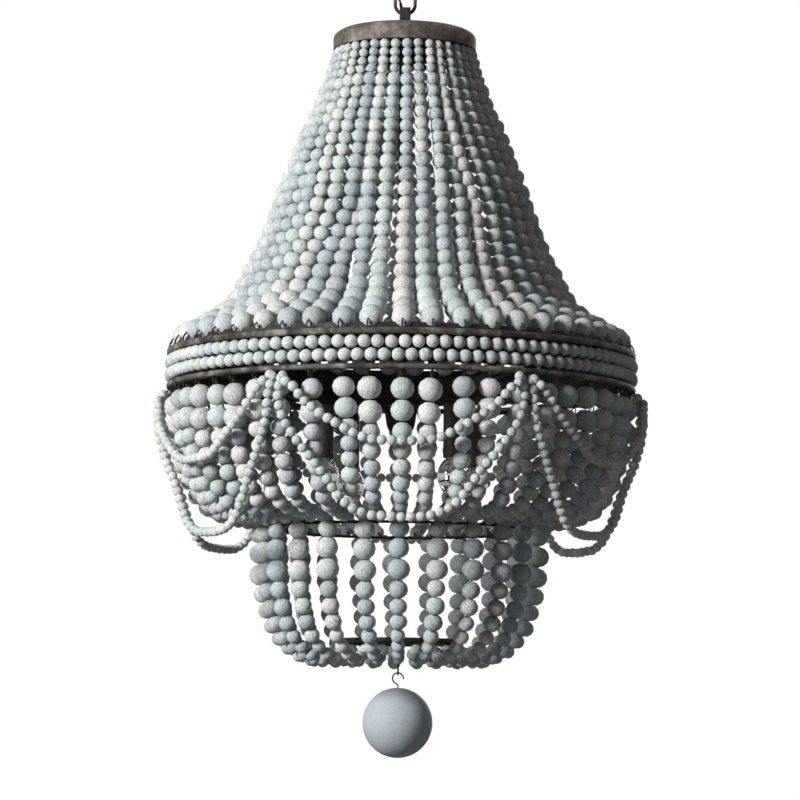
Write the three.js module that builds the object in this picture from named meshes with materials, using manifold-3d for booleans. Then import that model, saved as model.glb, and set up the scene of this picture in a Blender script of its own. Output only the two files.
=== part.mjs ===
// A beaded chandelier: painted wooden beads strung on an iron frame, on a short chain from a ceiling canopy.
// Millimetres, +Z up. The origin is where the fixing strap meets the ceiling, and every drop is measured down.
import * as THREE from 'three';
import { mergeVertices } from 'three/addons/utils/BufferGeometryUtils.js';
import Module from 'manifold-3d';

const wasm = await Module();
wasm.setup();

// Clearances and counts
const clearance = 0.3;
const overrun = 1;
const sectorCount = 6;
const strandsPerSector = 8;
const strandCount = sectorCount * strandsPerSector;
const basketSectorCount = 3;
const basketStrandCount = strandCount / 2;
const swagGroupCount = 6;
const linkCount = 3;
const lightCount = 4;

// Ceiling fitting
const strapLength = 100;
const strapWidth = 16;
const strapThickness = 3;
const strapScrewSpacing = 70;
const strapScrewRadius = 2;
const strapScrewHeadRadius = 3.6;
const strapScrewHeadHeight = 2.2;
const canopyRadius = 63;
const canopyDepth = 28;
const canopyWall = 1.4;
const nippleRadius = 5;
const nippleWall = 1.8;
const nippleLength = 24;
const nippleNutReach = 3.5;
const nippleNutHeight = 3.5;
const loopNeckRadius = 8;
const loopNeckLength = 18.1;
const collarWall = 3.7;
const collarHeight = 6;

// Chain and lead
const chainWire = 4.4;
const linkInnerWidth = 21;
const linkInnerLength = 38;
const leadDiameter = 4.2;
const leadLinkGap = 1;

// Top cap
const capRadius = 90;
const capBelowLink = 21.2;
const capDepth = 26;
const capWall = 1.6;
const capShoulderReach = 24;
const capShoulderHeight = 12;
const capArchWidth = 14;
const capArchThickness = 3;
const capArchInside = 13;
const capArchFoot = 7;
const leadBushRadius = 5;
const leadEntryGap = 4.5;

// Frame inside the beads
const stemRadius = 6.5;
const stemWall = 2.5;
const stemSlotBelowCap = 21;
const stemSlotLength = 26;
const spiderBelowBand = 20.2;
const spiderBarWidth = 16;
const spiderBarThickness = 4.6;
const spiderHubRadius = 27;
const spiderFlatPastLights = 23;
const spiderTurnAngle = -56;
const hubCupRadius = 20;
const hubCupDepth = 26;
const hubCupWall = 2.4;

// Bead band round the widest part
const upperFall = 383.9;
const bandTopRingHeight = 7.6;
const bandRingHeight = 6;
const bandRingRadius = 293;
const bandRingWidth = 12.5;
const bandHoopWall = 1.5;
const bandBeadDiameter = 14.8;
const bandRowGap = 1.2;
const bandRowTopGap = 1.1;
const bandRowBottomGap = 3.4;

// Upper strands, from the cap's rim to the band
const hookWire = 2.4;
const upperStrandInset = 4.4;
const largestUpperBead = 28;
const beadFillShare = 0.93;
const upperSpreadShares = [0, 0.21, 0.44, 0.61, 0.78, 0.92];
const upperDropShares = [0, 0.3, 0.655, 0.843, 0.918, 0.955];

// Middle strands, from the band in to the waist ring
const waistRingRadius = 163;
const middleFall = 172.2;
const waistRingWire = 3.5;
const largestMiddleBead = 27.4;
const middleBead = 20.6;
const smallestMiddleBead = 15.6;
const middleBowInset = 12;
const middleEndRise = 10;
const middleReachShares = [1, 0.99, 0.93, 0.79, 0.6, 0.18];
const middleDropShares = [0.08, 0.31, 0.65, 0.86, 0.97, 1];

// Basket strands, from the waist ring in to the bottom ring
const basketBowReach = 9.5;
const largestBasketBead = 25.7;
const basketBead = 21;
const smallestBasketBead = 15.6;
const basketSag = 28;
const bottomRingRadius = 74.6;
const basketFall = 136;
const bottomRingHeight = 7;
const bottomRingWall = 2.6;
const basketReachShares = [1, 0.985, 0.82, 0.55, 0.2];
const basketDropShares = [0, 0.4, 0.78, 0.97, 1];

// Swags of small beads in front of the middle strands
const swagBead = 11.8;
const swagReach = 9.4;
const swagStandOff = 3.4;
const swagGatherAngle = 1.3;
const swagTopFall = 11.2;
const upperSwagSags = [74, 86, 86, 74, 86, 86];
const lowerSwagSags = [162, 174, 180, 158, 180, 174];
const upperSwagAcrossShares = [0, 0.15, 0.27, 0.38, 0.5, 0.64, 0.77, 0.875, 0.95];
const upperSwagFallShares = [1, 0.995, 0.965, 0.88, 0.745, 0.57, 0.37, 0.13, 0.02];
const lowerSwagAcrossShares = [0, 0.15, 0.27, 0.436, 0.561, 0.697, 0.798, 0.895, 0.97, 1];
const lowerSwagFallShares = [1, 0.995, 0.986, 0.928, 0.82, 0.641, 0.525, 0.393, 0.27, 0.1];

// Lights
const lightCircleRadius = 112;
const sleeveRadius = 10.4;
const sleeveWall = 1;
const sleeveLength = 66;
const socketBody = 23;
const socketWall = 2.5;
const bulbBaseGap = 0.6;
const bulbRadius = 17.5;
const bulbGlassLength = 52;
const bulbBaseLength = 22;

// Finial
const crossbarWire = 4;
const hangerWire = 2.2;
const hangerEyeRadius = 5;
const hangerLength = 40.5;
const finialHookRadius = 6.8;
const finialHookWire = 1.8;
const finialBallRadius = 43.4;
const finialNeck = 4.9;
const finialShankLength = 16;
const finialBoreRadius = 1.5;

// Radii that follow from the sizes above
const linkWireRadius = chainWire / 2;
const loopRingRadius = linkInnerWidth / 2 + linkWireRadius;
const nippleBoreRadius = nippleRadius - nippleWall;
const nippleNutRadius = nippleRadius + nippleNutReach;
const canopyHoleRadius = loopNeckRadius + clearance;
const collarRadius = loopNeckRadius + clearance + collarWall;
const leadTwistRadius = linkInnerWidth / 2 - leadDiameter / 2 - leadLinkGap;
const leadEntryOffset = capArchInside / 2 + capArchThickness + capArchFoot + leadBushRadius + leadEntryGap;
const stemBoreRadius = stemRadius - stemWall;
const spiderBendRadius = lightCircleRadius + spiderFlatPastLights;
const bandRingInnerRadius = bandRingRadius - bandRingWidth;
const upperStrandTopRadius = capRadius - upperStrandInset;
const upperStrandEndRadius = (bandRingInnerRadius + bandRingRadius) / 2;
const middleBowRadius = bandRingRadius - middleBowInset;
const basketBowRadius = waistRingRadius + basketBowReach;
const swagRadius = bandRingRadius + swagReach;
const swagHalfAngle = 180 / swagGroupCount - swagGatherAngle;

// Drops from the ceiling, each worked out from what hangs above it
const loopNeckTopDrop = nippleLength + clearance;
const loopNeckBottomDrop = loopNeckTopDrop + loopNeckLength;
const loopRingDrop = loopNeckBottomDrop + loopRingRadius - linkWireRadius / 2;
const linkReach = chainWire + clearance;
const linkPitch = linkInnerLength - clearance;
const linkHalfLength = (linkInnerLength + chainWire) / 2;
const firstLinkTop = loopRingDrop + loopRingRadius - linkReach;
const lastLinkLowWire = firstLinkTop + (linkCount - 1) * linkPitch + 2 * linkHalfLength;
const capTopDrop = lastLinkLowWire + capBelowLink;
const capRimDrop = capTopDrop + capDepth;
const stemSlotTopDrop = capTopDrop + stemSlotBelowCap;
const bandTopDrop = capRimDrop + upperFall;
const bandRowSpacing = bandBeadDiameter + bandRowGap;
const bandRowDrop = bandTopRingHeight + bandRowTopGap + bandBeadDiameter / 2;
const bandHeight = bandRowDrop + bandRowSpacing + bandBeadDiameter / 2 + bandRowBottomGap + bandRingHeight;
const bandBottomDrop = bandTopDrop + bandHeight;
const spiderDrop = bandBottomDrop + spiderBelowBand;
const swagTopDrop = bandBottomDrop + swagTopFall;
const waistRingDrop = bandBottomDrop + middleFall;
const middleEndDrop = waistRingDrop - middleEndRise;
const bottomRingDrop = waistRingDrop + basketFall;
const basketLowDrop = bottomRingDrop + basketSag;

// Finishes
const finish = {
  canopyIron: [0x4b423c, 0.62, 0.75],
  chainIron: [0x3a332e, 0.55, 0.85],
  capIron: [0x6a5d54, 0.7, 0.6],
  frameIron: [0x2d2825, 0.6, 0.8],
  screwSteel: [0x8b8a86, 0.4, 0.9],
  lead: [0x1f1a18, 0.6, 0],
  blueBead: [0xa9b9bd, 0.85, 0],
  greenBead: [0xb4c3b8, 0.85, 0],
  lilacBead: [0xb5b3c0, 0.85, 0],
  paleBead: [0xcfd0c8, 0.85, 0],
  ball: [0x969da5, 0.8, 0],
  sleeve: [0x2a2523, 0.7, 0.1],
  socket: [0x241f1c, 0.5, 0],
  glass: [0xe6e2d8, 0.05, 0],
};

const part = new THREE.Group();

function addMesh(name, geometry, [color, roughness, metalness], parent = part) {
  const mesh = new THREE.Mesh(geometry, new THREE.MeshStandardMaterial({ color, roughness, metalness }));
  mesh.name = name;
  parent.add(mesh);
  return mesh;
}

// Solids joined or cut from closed meshes
function toSolid(geometry) {
  const bare = geometry.clone();
  bare.deleteAttribute('normal');
  bare.deleteAttribute('uv');
  const merged = mergeVertices(bare);
  return new wasm.Manifold(new wasm.Mesh({
    numProp: 3,
    vertProperties: new Float32Array(merged.attributes.position.array),
    triVerts: new Uint32Array(merged.index.array),
  }));
}

function toGeometry(solid) {
  const mesh = solid.getMesh();
  const geometry = new THREE.BufferGeometry();
  geometry.setAttribute('position', new THREE.BufferAttribute(new Float32Array(mesh.vertProperties), 3));
  geometry.setIndex(new THREE.BufferAttribute(new Uint32Array(mesh.triVerts), 1));
  geometry.computeVertexNormals();
  return geometry;
}

function join(geometries) {
  return toGeometry(geometries.map(toSolid).reduce((sum, next) => sum.add(next)));
}

function cut(geometry, tools) {
  return toGeometry(tools.map(toSolid).reduce((left, tool) => left.subtract(tool), toSolid(geometry)));
}

// A turned shape from [radius, height] points, with its axis along Z
function turned(points, segments) {
  const profile = points.map(([radius, height]) => new THREE.Vector2(radius, height));
  const geometry = new THREE.LatheGeometry(profile, segments);
  return geometry.rotateX(Math.PI / 2);
}

// A ring with a rectangular section, its outline closed on itself
function flatRing(innerRadius, outerRadius, topDrop, height, segments) {
  return turned([
    [innerRadius, -topDrop - height],
    [outerRadius, -topDrop - height],
    [outerRadius, -topDrop],
    [innerRadius, -topDrop],
    [innerRadius, -topDrop - height],
  ], segments);
}

// A ring with a round section of a few sides
function wireRing(radius, wire, drop, segments, sides) {
  const points = [];
  for (let i = 0; i <= sides; i += 1) {
    const angle = (2 * Math.PI * i) / sides;
    points.push([radius + (wire / 2) * Math.cos(angle), -drop + (wire / 2) * Math.sin(angle)]);
  }
  return turned(points, segments);
}

function cylinder(radius, topDrop, height, segments) {
  return turned([[0, -topDrop - height], [radius, -topDrop - height], [radius, -topDrop], [0, -topDrop]], segments);
}

// A tube through points, each with its own radius; its sides line up with the given side direction
function taperedTube(points, radii, sides, sideAt) {
  const positions = [];
  points.forEach((point, i) => {
    const before = points[Math.max(i - 1, 0)];
    const after = points[Math.min(i + 1, points.length - 1)];
    const tangent = after.clone().sub(before).normalize();
    const side = sideAt(point).clone().addScaledVector(tangent, -sideAt(point).dot(tangent)).normalize();
    const normal = tangent.clone().cross(side);
    for (let k = 0; k < sides; k += 1) {
      const angle = (2 * Math.PI * k) / sides;
      const corner = point.clone()
        .addScaledVector(side, radii[i] * Math.cos(angle))
        .addScaledVector(normal, radii[i] * Math.sin(angle));
      positions.push(corner.x, corner.y, corner.z);
    }
  });
  const faces = [];
  const last = (points.length - 1) * sides;
  for (let i = 0; i < points.length - 1; i += 1) {
    for (let k = 0; k < sides; k += 1) {
      const a = i * sides + k;
      const b = i * sides + ((k + 1) % sides);
      faces.push(a, b, b + sides, a, b + sides, a + sides);
    }
  }
  for (let k = 1; k < sides - 1; k += 1) {
    faces.push(0, k + 1, k);
    faces.push(last, last + k, last + k + 1);
  }
  const geometry = new THREE.BufferGeometry();
  geometry.setAttribute('position', new THREE.Float32BufferAttribute(positions, 3));
  geometry.setIndex(faces);
  return geometry;
}

const degrees = Math.PI / 180;
const frontAngle = -90 * degrees;
const polar = (radius, angle, drop) => new THREE.Vector3(radius * Math.cos(angle), radius * Math.sin(angle), -drop);
const aroundAt = (point) => new THREE.Vector3(-point.y, point.x, 0).normalize();
const outwardAt = (point) => new THREE.Vector3(point.x, point.y, 0).normalize();
const mix = (from, to, share) => from + (to - from) * share;

// Strands hang from one stringing wire in each sector, so that a sector is one piece
const strandSides = 4;

function strand(profile, angle) {
  const points = profile.map(([radius, drop]) => polar(radius, angle, drop));
  return taperedTube(points, profile.map(([, , bead]) => bead / 2), strandSides, aroundAt);
}

function stringingWire(radius, drop, angles) {
  const points = angles.map((angle) => polar(radius, angle, drop));
  return taperedTube(points, angles.map(() => hookWire / 2), strandSides, outwardAt);
}

function strandSector(profile, wireRadius, wireDrop, first, count, pitch) {
  const angles = Array.from({ length: count }, (_, i) => frontAngle + (first + i) * pitch);
  return join([stringingWire(wireRadius, wireDrop, angles), ...angles.map((angle) => strand(profile, angle))]);
}

const beadFinishes = [finish.blueBead, finish.paleBead, finish.greenBead, finish.lilacBead];

// Ceiling strap and its two screws
const strapTop = 0;
const strapHole = new THREE.CylinderGeometry(
  nippleRadius + clearance, nippleRadius + clearance, strapThickness + 2 * overrun, 12,
).rotateX(Math.PI / 2).translate(0, 0, -strapThickness / 2);
const strapScrewHoles = [-1, 1].map((side) => new THREE.CylinderGeometry(
  strapScrewRadius + clearance, strapScrewRadius + clearance, strapThickness + 2 * overrun, 8,
).rotateX(Math.PI / 2).translate((side * strapScrewSpacing) / 2, 0, -strapThickness / 2));
const strapPlate = new THREE.BoxGeometry(strapLength, strapWidth, strapThickness)
  .translate(0, 0, strapTop - strapThickness / 2);
addMesh('ceiling_strap', cut(strapPlate, [strapHole, ...strapScrewHoles]), finish.screwSteel);

[-1, 1].forEach((side, i) => {
  const underStrap = strapThickness + clearance;
  const screw = turned([
    [0, -underStrap - strapScrewHeadHeight],
    [strapScrewHeadRadius, -underStrap - strapScrewHeadHeight],
    [strapScrewHeadRadius, -underStrap],
    [strapScrewRadius, -underStrap],
    [strapScrewRadius, strapTop],
    [0, strapTop],
  ], 10);
  addMesh(`strap_screw_${i + 1}`, screw, finish.screwSteel).position.x = (side * strapScrewSpacing) / 2;
});

// Threaded nipple with its nut under the strap, bored for the lead
const nippleTop = 0.5;
addMesh('threaded_nipple', turned([
  [nippleBoreRadius, -nippleLength],
  [nippleRadius, -nippleLength],
  [nippleRadius, -strapThickness - clearance - nippleNutHeight],
  [nippleNutRadius, -strapThickness - clearance - nippleNutHeight],
  [nippleNutRadius, -strapThickness - clearance],
  [nippleRadius, -strapThickness - clearance],
  [nippleRadius, -nippleTop],
  [nippleBoreRadius, -nippleTop],
  [nippleBoreRadius, -nippleLength],
], 12), finish.screwSteel);

// Canopy, a shallow dish open towards the ceiling
const canopyCurve = [];
const canopySteps = 3;
for (let i = 0; i <= canopySteps; i += 1) {
  const angle = (Math.PI / 2) * (i / canopySteps);
  canopyCurve.push([Math.cos(angle), Math.sin(angle)]);
}
const canopyOuter = canopyCurve.map(([across, down]) => [
  mix(canopyHoleRadius, canopyRadius, across), -canopyDepth * down,
]).reverse();
const canopyInner = canopyCurve.map(([across, down]) => [
  mix(canopyHoleRadius, canopyRadius - canopyWall, across), -(canopyDepth - canopyWall) * down,
]);
addMesh('ceiling_canopy', turned([...canopyOuter, ...canopyInner, canopyOuter[0]], 24), finish.canopyIron);

// Loop that carries the chain: a bored neck through the canopy and an upright ring below it
const linkSides = 5;
const loopRing = new THREE.TorusGeometry(loopRingRadius, linkWireRadius, linkSides, 16)
  .rotateY(Math.PI / 2).translate(0, 0, -loopRingDrop);
const loopNeck = cylinder(loopNeckRadius, loopNeckTopDrop, loopNeckBottomDrop - loopNeckTopDrop, 12);
const loopBore = cylinder(
  nippleBoreRadius, loopNeckTopDrop - overrun, loopRingDrop - loopNeckTopDrop, 10,
);
addMesh('canopy_loop', cut(join([loopNeck, loopRing]), [loopBore]), finish.chainIron);

// Screw collar that holds the canopy up
const collarTop = canopyDepth + clearance;
const collarFluteRadius = collarRadius - 1.2 * clearance;
addMesh('screw_collar', turned([
  [loopNeckRadius + clearance, -collarTop - collarHeight],
  [collarFluteRadius, -collarTop - collarHeight],
  [collarRadius, -collarTop - collarHeight / 2],
  [collarFluteRadius, -collarTop],
  [loopNeckRadius + clearance, -collarTop],
  [loopNeckRadius + clearance, -collarTop - collarHeight],
], 16), finish.canopyIron);

// Chain links, each standing a quarter turn from the last
function chainLink() {
  const halfStraight = (linkInnerLength - linkInnerWidth) / 2;
  const points = [];
  const bendSteps = 7;
  [1, -1].forEach((end) => {
    for (let i = 0; i <= bendSteps; i += 1) {
      const angle = (Math.PI * i) / bendSteps;
      points.push(new THREE.Vector3(
        end * loopRingRadius * Math.cos(angle), 0, end * (halfStraight + loopRingRadius * Math.sin(angle)),
      ));
    }
  });
  return closedTube(points, linkWireRadius, linkSides, new THREE.Vector3(0, 1, 0));
}

// A closed tube through points in one plane whose normal is given
function closedTube(points, radius, sides, planeNormal) {
  const count = points.length;
  const positions = [];
  points.forEach((point, i) => {
    const before = points[(i + count - 1) % count];
    const after = points[(i + 1) % count];
    const tangent = after.clone().sub(before).normalize();
    const inPlane = tangent.clone().cross(planeNormal);
    for (let k = 0; k < sides; k += 1) {
      const angle = (2 * Math.PI * k) / sides;
      const corner = point.clone()
        .addScaledVector(planeNormal, radius * Math.cos(angle))
        .addScaledVector(inPlane, radius * Math.sin(angle));
      positions.push(corner.x, corner.y, corner.z);
    }
  });
  const faces = [];
  for (let i = 0; i < count; i += 1) {
    const next = (i + 1) % count;
    for (let k = 0; k < sides; k += 1) {
      const turn = (k + 1) % sides;
      faces.push(i * sides + k, next * sides + turn, next * sides + k);
      faces.push(i * sides + k, i * sides + turn, next * sides + turn);
    }
  }
  const geometry = new THREE.BufferGeometry();
  geometry.setAttribute('position', new THREE.Float32BufferAttribute(positions, 3));
  geometry.setIndex(faces);
  return geometry;
}

for (let i = 0; i < linkCount; i += 1) {
  const link = addMesh(`chain_link_${i + 1}`, chainLink(), finish.chainIron);
  link.position.z = -(firstLinkTop + i * linkPitch + linkHalfLength);
  link.rotation.z = i % 2 ? Math.PI / 2 : 0;
}

// Top cap, a long round shoulder over an upright rim, open below
const shoulderSteps = 4;
const capShoulder = (radius, top, reach, height) => Array.from({ length: shoulderSteps + 1 }, (_, i) => {
  const angle = (Math.PI / 2) * (i / shoulderSteps);
  return [radius - reach * (1 - Math.cos(angle)), -top - height * (1 - Math.sin(angle))];
});
const capPoints = [
  [capRadius - capWall, -capRimDrop],
  [capRadius, -capRimDrop],
  ...capShoulder(capRadius, capTopDrop, capShoulderReach, capShoulderHeight),
  [stemRadius + clearance, -capTopDrop],
  [stemRadius + clearance, -capTopDrop - capWall],
  ...capShoulder(
    capRadius - capWall, capTopDrop + capWall, capShoulderReach - capWall, capShoulderHeight - capWall,
  ).reverse(),
  [capRadius - capWall, -capRimDrop],
];
const leadHole = cylinder(leadBushRadius, capTopDrop - overrun, capWall + 2 * overrun, 12)
  .translate(0, leadEntryOffset, 0);
addMesh('top_cap', cut(turned(capPoints, 28), [leadHole]), finish.capIron);

// Arch of strip iron on the cap, which the last link carries
const archHalfInside = capArchInside / 2;
const archHalfOutside = archHalfInside + capArchThickness;
const archFoot = -capTopDrop + clearance;
const archEdgeRise = loopRingRadius - Math.sqrt(loopRingRadius ** 2 - (capArchWidth / 2) ** 2);
const archRoof = -(lastLinkLowWire - archEdgeRise - linkWireRadius - 2 * clearance);
const archStrip = [
  [-archHalfOutside - capArchFoot, archFoot],
  [archHalfOutside + capArchFoot, archFoot],
  [archHalfOutside + capArchFoot, archFoot + capArchThickness],
  [archHalfOutside, archFoot + capArchThickness],
  [archHalfOutside, archRoof],
  [archHalfInside, archRoof + capArchThickness],
  [-archHalfInside, archRoof + capArchThickness],
  [-archHalfOutside, archRoof],
  [-archHalfOutside, archFoot + capArchThickness],
  [-archHalfOutside - capArchFoot, archFoot + capArchThickness],
];
const archWindow = [
  [-archHalfInside, archFoot + capArchThickness + clearance],
  [-archHalfInside, archRoof - clearance],
  [-archHalfInside + clearance, archRoof],
  [archHalfInside - clearance, archRoof],
  [archHalfInside, archRoof - clearance],
  [archHalfInside, archFoot + capArchThickness + clearance],
];
const toVectors = (points) => points.map(([across, up]) => new THREE.Vector2(across, up));
const archShape = new THREE.Shape(toVectors(archStrip));
archShape.holes.push(new THREE.Path(toVectors(archWindow)));

// Stands a flat outline up across the YZ plane, with its thickness along X
function standAcross(shape, thickness) {
  return new THREE.ExtrudeGeometry(shape, { depth: thickness, bevelEnabled: false, steps: 1 })
    .translate(0, 0, -thickness / 2)
    .applyMatrix4(new THREE.Matrix4().makeBasis(
      new THREE.Vector3(0, 1, 0), new THREE.Vector3(0, 0, 1), new THREE.Vector3(1, 0, 0),
    ));
}
addMesh('cap_loop', standAcross(archShape, capArchWidth), finish.chainIron);

// Stem, spider and hub cup, which carry the band and the lights
const stemTopDrop = capTopDrop + clearance;
const stemBottomDrop = spiderDrop + spiderBarThickness / 2 + hubCupDepth / 2;
const stemTube = turned([
  [stemBoreRadius, -stemBottomDrop],
  [stemRadius, -stemBottomDrop],
  [stemRadius, -stemTopDrop],
  [stemBoreRadius, -stemTopDrop],
  [stemBoreRadius, -stemBottomDrop],
], 10);
const stemSlot = new THREE.BoxGeometry(leadDiameter + overrun, stemRadius + overrun, stemSlotLength)
  .translate(0, (stemRadius + overrun) / 2, -stemSlotTopDrop - stemSlotLength / 2);
addMesh('stem', cut(stemTube, [stemSlot]), finish.frameIron);

const hoopOuterRadius = bandRingInnerRadius - clearance;
const hoopInnerRadius = hoopOuterRadius - bandHoopWall;
const bandBeadRowRadius = hoopOuterRadius + clearance + bandBeadDiameter / 2;
const ringSegments = 36;
const ringFlatShare = Math.cos(Math.PI / ringSegments);
const spiderBarEnd = hoopInnerRadius * ringFlatShare - clearance;
const spiderEndDrop = bandBottomDrop - bandRingHeight - spiderBarThickness / 2;
const spiderBarOutline = [
  [0, -spiderDrop - spiderBarThickness / 2],
  [spiderBendRadius, -spiderDrop - spiderBarThickness / 2],
  [spiderBarEnd, -spiderEndDrop - spiderBarThickness / 2],
  [spiderBarEnd, -spiderEndDrop + spiderBarThickness / 2],
  [spiderBendRadius, -spiderDrop + spiderBarThickness / 2],
  [0, -spiderDrop + spiderBarThickness / 2],
];
const spiderBar = standAcross(new THREE.Shape(toVectors(spiderBarOutline)), spiderBarWidth).rotateZ(-Math.PI / 2);
const lightAngles = Array.from({ length: lightCount }, (_, i) => (spiderTurnAngle + (360 / lightCount) * i) * degrees);
const spiderHub = cylinder(spiderHubRadius, spiderDrop - spiderBarThickness / 2, spiderBarThickness, 16);
const spiderBore = cylinder(stemRadius + clearance, spiderDrop - hubCupDepth, 2 * hubCupDepth, 10);
addMesh('band_spider', cut(
  join([spiderHub, ...lightAngles.map((angle) => spiderBar.clone().rotateZ(angle))]), [spiderBore],
), finish.frameIron);

const hubCupTop = spiderDrop + spiderBarThickness / 2 + clearance;
addMesh('hub_cup', turned([
  [stemRadius + clearance, -hubCupTop - hubCupWall],
  [hubCupRadius - hubCupWall, -hubCupTop - hubCupWall],
  [hubCupRadius - 2 * hubCupWall, -hubCupTop - hubCupDepth + hubCupWall],
  [0, -hubCupTop - hubCupDepth + hubCupWall],
  [0, -hubCupTop - hubCupDepth],
  [hubCupRadius - 2 * hubCupWall, -hubCupTop - hubCupDepth],
  [hubCupRadius, -hubCupTop],
  [stemRadius + clearance, -hubCupTop],
  [stemRadius + clearance, -hubCupTop - hubCupWall],
], 12), finish.frameIron);

// Band: two iron rings on a hoop, with two rows of beads between them
addMesh('band_top_ring', flatRing(
  bandRingInnerRadius, bandRingRadius, bandTopDrop, bandTopRingHeight, ringSegments,
), finish.capIron);
addMesh('band_bottom_ring', flatRing(
  bandRingInnerRadius, bandRingRadius, bandBottomDrop - bandRingHeight, bandRingHeight, ringSegments,
), finish.capIron);
addMesh('band_hoop', flatRing(
  hoopInnerRadius, hoopOuterRadius, bandTopDrop, bandHeight, ringSegments,
), finish.frameIron);
['band_beads_upper', 'band_beads_lower'].forEach((name, i) => {
  const drop = bandTopDrop + bandRowDrop + i * bandRowSpacing;
  addMesh(name, wireRing(bandBeadRowRadius, bandBeadDiameter, drop, ringSegments, 6), beadFinishes[i]);
});

// Upper strands
const fillAt = (radius, count) => (beadFillShare * 2 * Math.PI * radius) / count;
const hookRadius = hookWire / 2;
const upperHookDrop = capRimDrop - hookWire;
const upperHookRadius = upperStrandTopRadius - hookRadius;
const upperStartDrop = capRimDrop + fillAt(upperStrandTopRadius, strandCount) / 2;
const upperEndDrop = bandTopDrop - hookRadius - clearance;
const upperProfile = [
  [upperHookRadius, upperHookDrop, hookRadius],
  ...upperSpreadShares.map((share, i) => {
    const radius = mix(upperStrandTopRadius, upperStrandEndRadius, share);
    const bead = Math.min(fillAt(radius, strandCount), largestUpperBead);
    return [radius, mix(upperStartDrop, upperEndDrop, upperDropShares[i]), bead];
  }),
  [upperStrandEndRadius, upperEndDrop, hookWire],
];
for (let i = 0; i < sectorCount; i += 1) {
  addMesh(`upper_strands_${i + 1}`, strandSector(
    upperProfile, upperHookRadius, upperHookDrop,
    i * strandsPerSector, strandsPerSector, 2 * Math.PI / strandCount,
  ), beadFinishes[i % beadFinishes.length]);
}

// Middle strands
const waistWireRadius = waistRingWire / 2;
const middleStartDrop = bandBottomDrop + hookRadius + clearance;
const middleStartRadius = upperStrandEndRadius;
const middleBeads = [
  largestMiddleBead, largestMiddleBead, middleBead, middleBead, smallestMiddleBead, smallestMiddleBead,
];
const waistReach = waistWireRadius + hookRadius + clearance;
const middleProfile = [
  [middleStartRadius, middleStartDrop, hookRadius],
  ...middleReachShares.map((share, i) => [
    mix(waistRingRadius, middleBowRadius, share), mix(middleStartDrop, middleEndDrop, middleDropShares[i]),
    middleBeads[i],
  ]),
  [waistRingRadius, waistRingDrop - waistReach, hookWire],
];
for (let i = 0; i < sectorCount; i += 1) {
  addMesh(`middle_strands_${i + 1}`, strandSector(
    middleProfile, middleStartRadius, middleStartDrop, i * strandsPerSector, strandsPerSector,
    2 * Math.PI / strandCount,
  ), beadFinishes[(i + 1) % beadFinishes.length]);
}
const waistSegments = 24;
addMesh('waist_ring', wireRing(waistRingRadius, waistRingWire, waistRingDrop, waistSegments, 4), finish.frameIron);

// Basket strands
const basketStartDrop = waistRingDrop + waistWireRadius + hookRadius + clearance;
const bottomRingBase = bottomRingDrop + bottomRingHeight;
const basketBeads = [largestBasketBead, largestBasketBead, basketBead, smallestBasketBead, smallestBasketBead];
const basketFirstDrop = basketStartDrop + largestBasketBead / 2 - 3 * clearance;
const basketProfile = [
  [waistRingRadius, basketStartDrop, hookRadius],
  ...basketReachShares.map((share, i) => [
    mix(bottomRingRadius, basketBowRadius, share), mix(basketFirstDrop, basketLowDrop, basketDropShares[i]),
    basketBeads[i],
  ]),
  [bottomRingRadius - bottomRingWall / 2, bottomRingBase + hookRadius + clearance, hookWire],
];
const basketPerSector = basketStrandCount / basketSectorCount;
for (let i = 0; i < basketSectorCount; i += 1) {
  addMesh(`basket_strands_${i + 1}`, strandSector(
    basketProfile, waistRingRadius, basketStartDrop, i * basketPerSector, basketPerSector,
    2 * Math.PI / basketStrandCount,
  ), beadFinishes[(i + 2) % beadFinishes.length]);
}
addMesh('bottom_ring', flatRing(
  bottomRingRadius - bottomRingWall, bottomRingRadius, bottomRingDrop, bottomRingHeight, waistSegments,
), finish.frameIron);

// Swags, in pairs that share their gathers
function middleOuterAt(drop) {
  const steps = middleProfile.map(([radius, at, bead]) => [at, radius + bead / 2]);
  for (let i = 1; i < steps.length; i += 1) {
    if (drop <= steps[i][0]) {
      const share = (drop - steps[i - 1][0]) / (steps[i][0] - steps[i - 1][0]);
      return mix(steps[i - 1][1], steps[i][1], Math.max(share, 0));
    }
  }
  return 0;
}

function swag(centre, sag, acrossShares, fallShares) {
  const half = acrossShares.map((across, i) => [across, swagTopDrop + sag * fallShares[i]]);
  const curve = [...half.slice(1).reverse().map(([across, drop]) => [-across, drop]), ...half];
  const gathers = [-1, 1].map((side) => polar(
    middleStartRadius + hookWire * 2, centre + side * swagHalfAngle * degrees, middleStartDrop,
  ));
  const hung = curve.map(([across, drop]) => {
    const turn = across * swagHalfAngle * degrees;
    const chord = swagRadius * Math.cos(swagHalfAngle * degrees) / Math.cos(turn);
    return polar(Math.max(chord, middleOuterAt(drop) + swagBead / 2 + swagStandOff), centre + turn, drop);
  });
  const points = [gathers[0], ...hung, gathers[1]];
  const radii = points.map((_, i) => (i === 0 || i === points.length - 1 ? hookRadius : swagBead / 2));
  return taperedTube(points, radii, strandSides, outwardAt);
}
for (let i = 0; i < swagGroupCount; i += 1) {
  const centre = frontAngle + (2 * Math.PI * i) / swagGroupCount;
  addMesh(`swag_pair_${i + 1}`, join([
    swag(centre, upperSwagSags[i], upperSwagAcrossShares, upperSwagFallShares),
    swag(centre, lowerSwagSags[i], lowerSwagAcrossShares, lowerSwagFallShares),
  ]), beadFinishes[(i + 3) % beadFinishes.length]);
}

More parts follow.
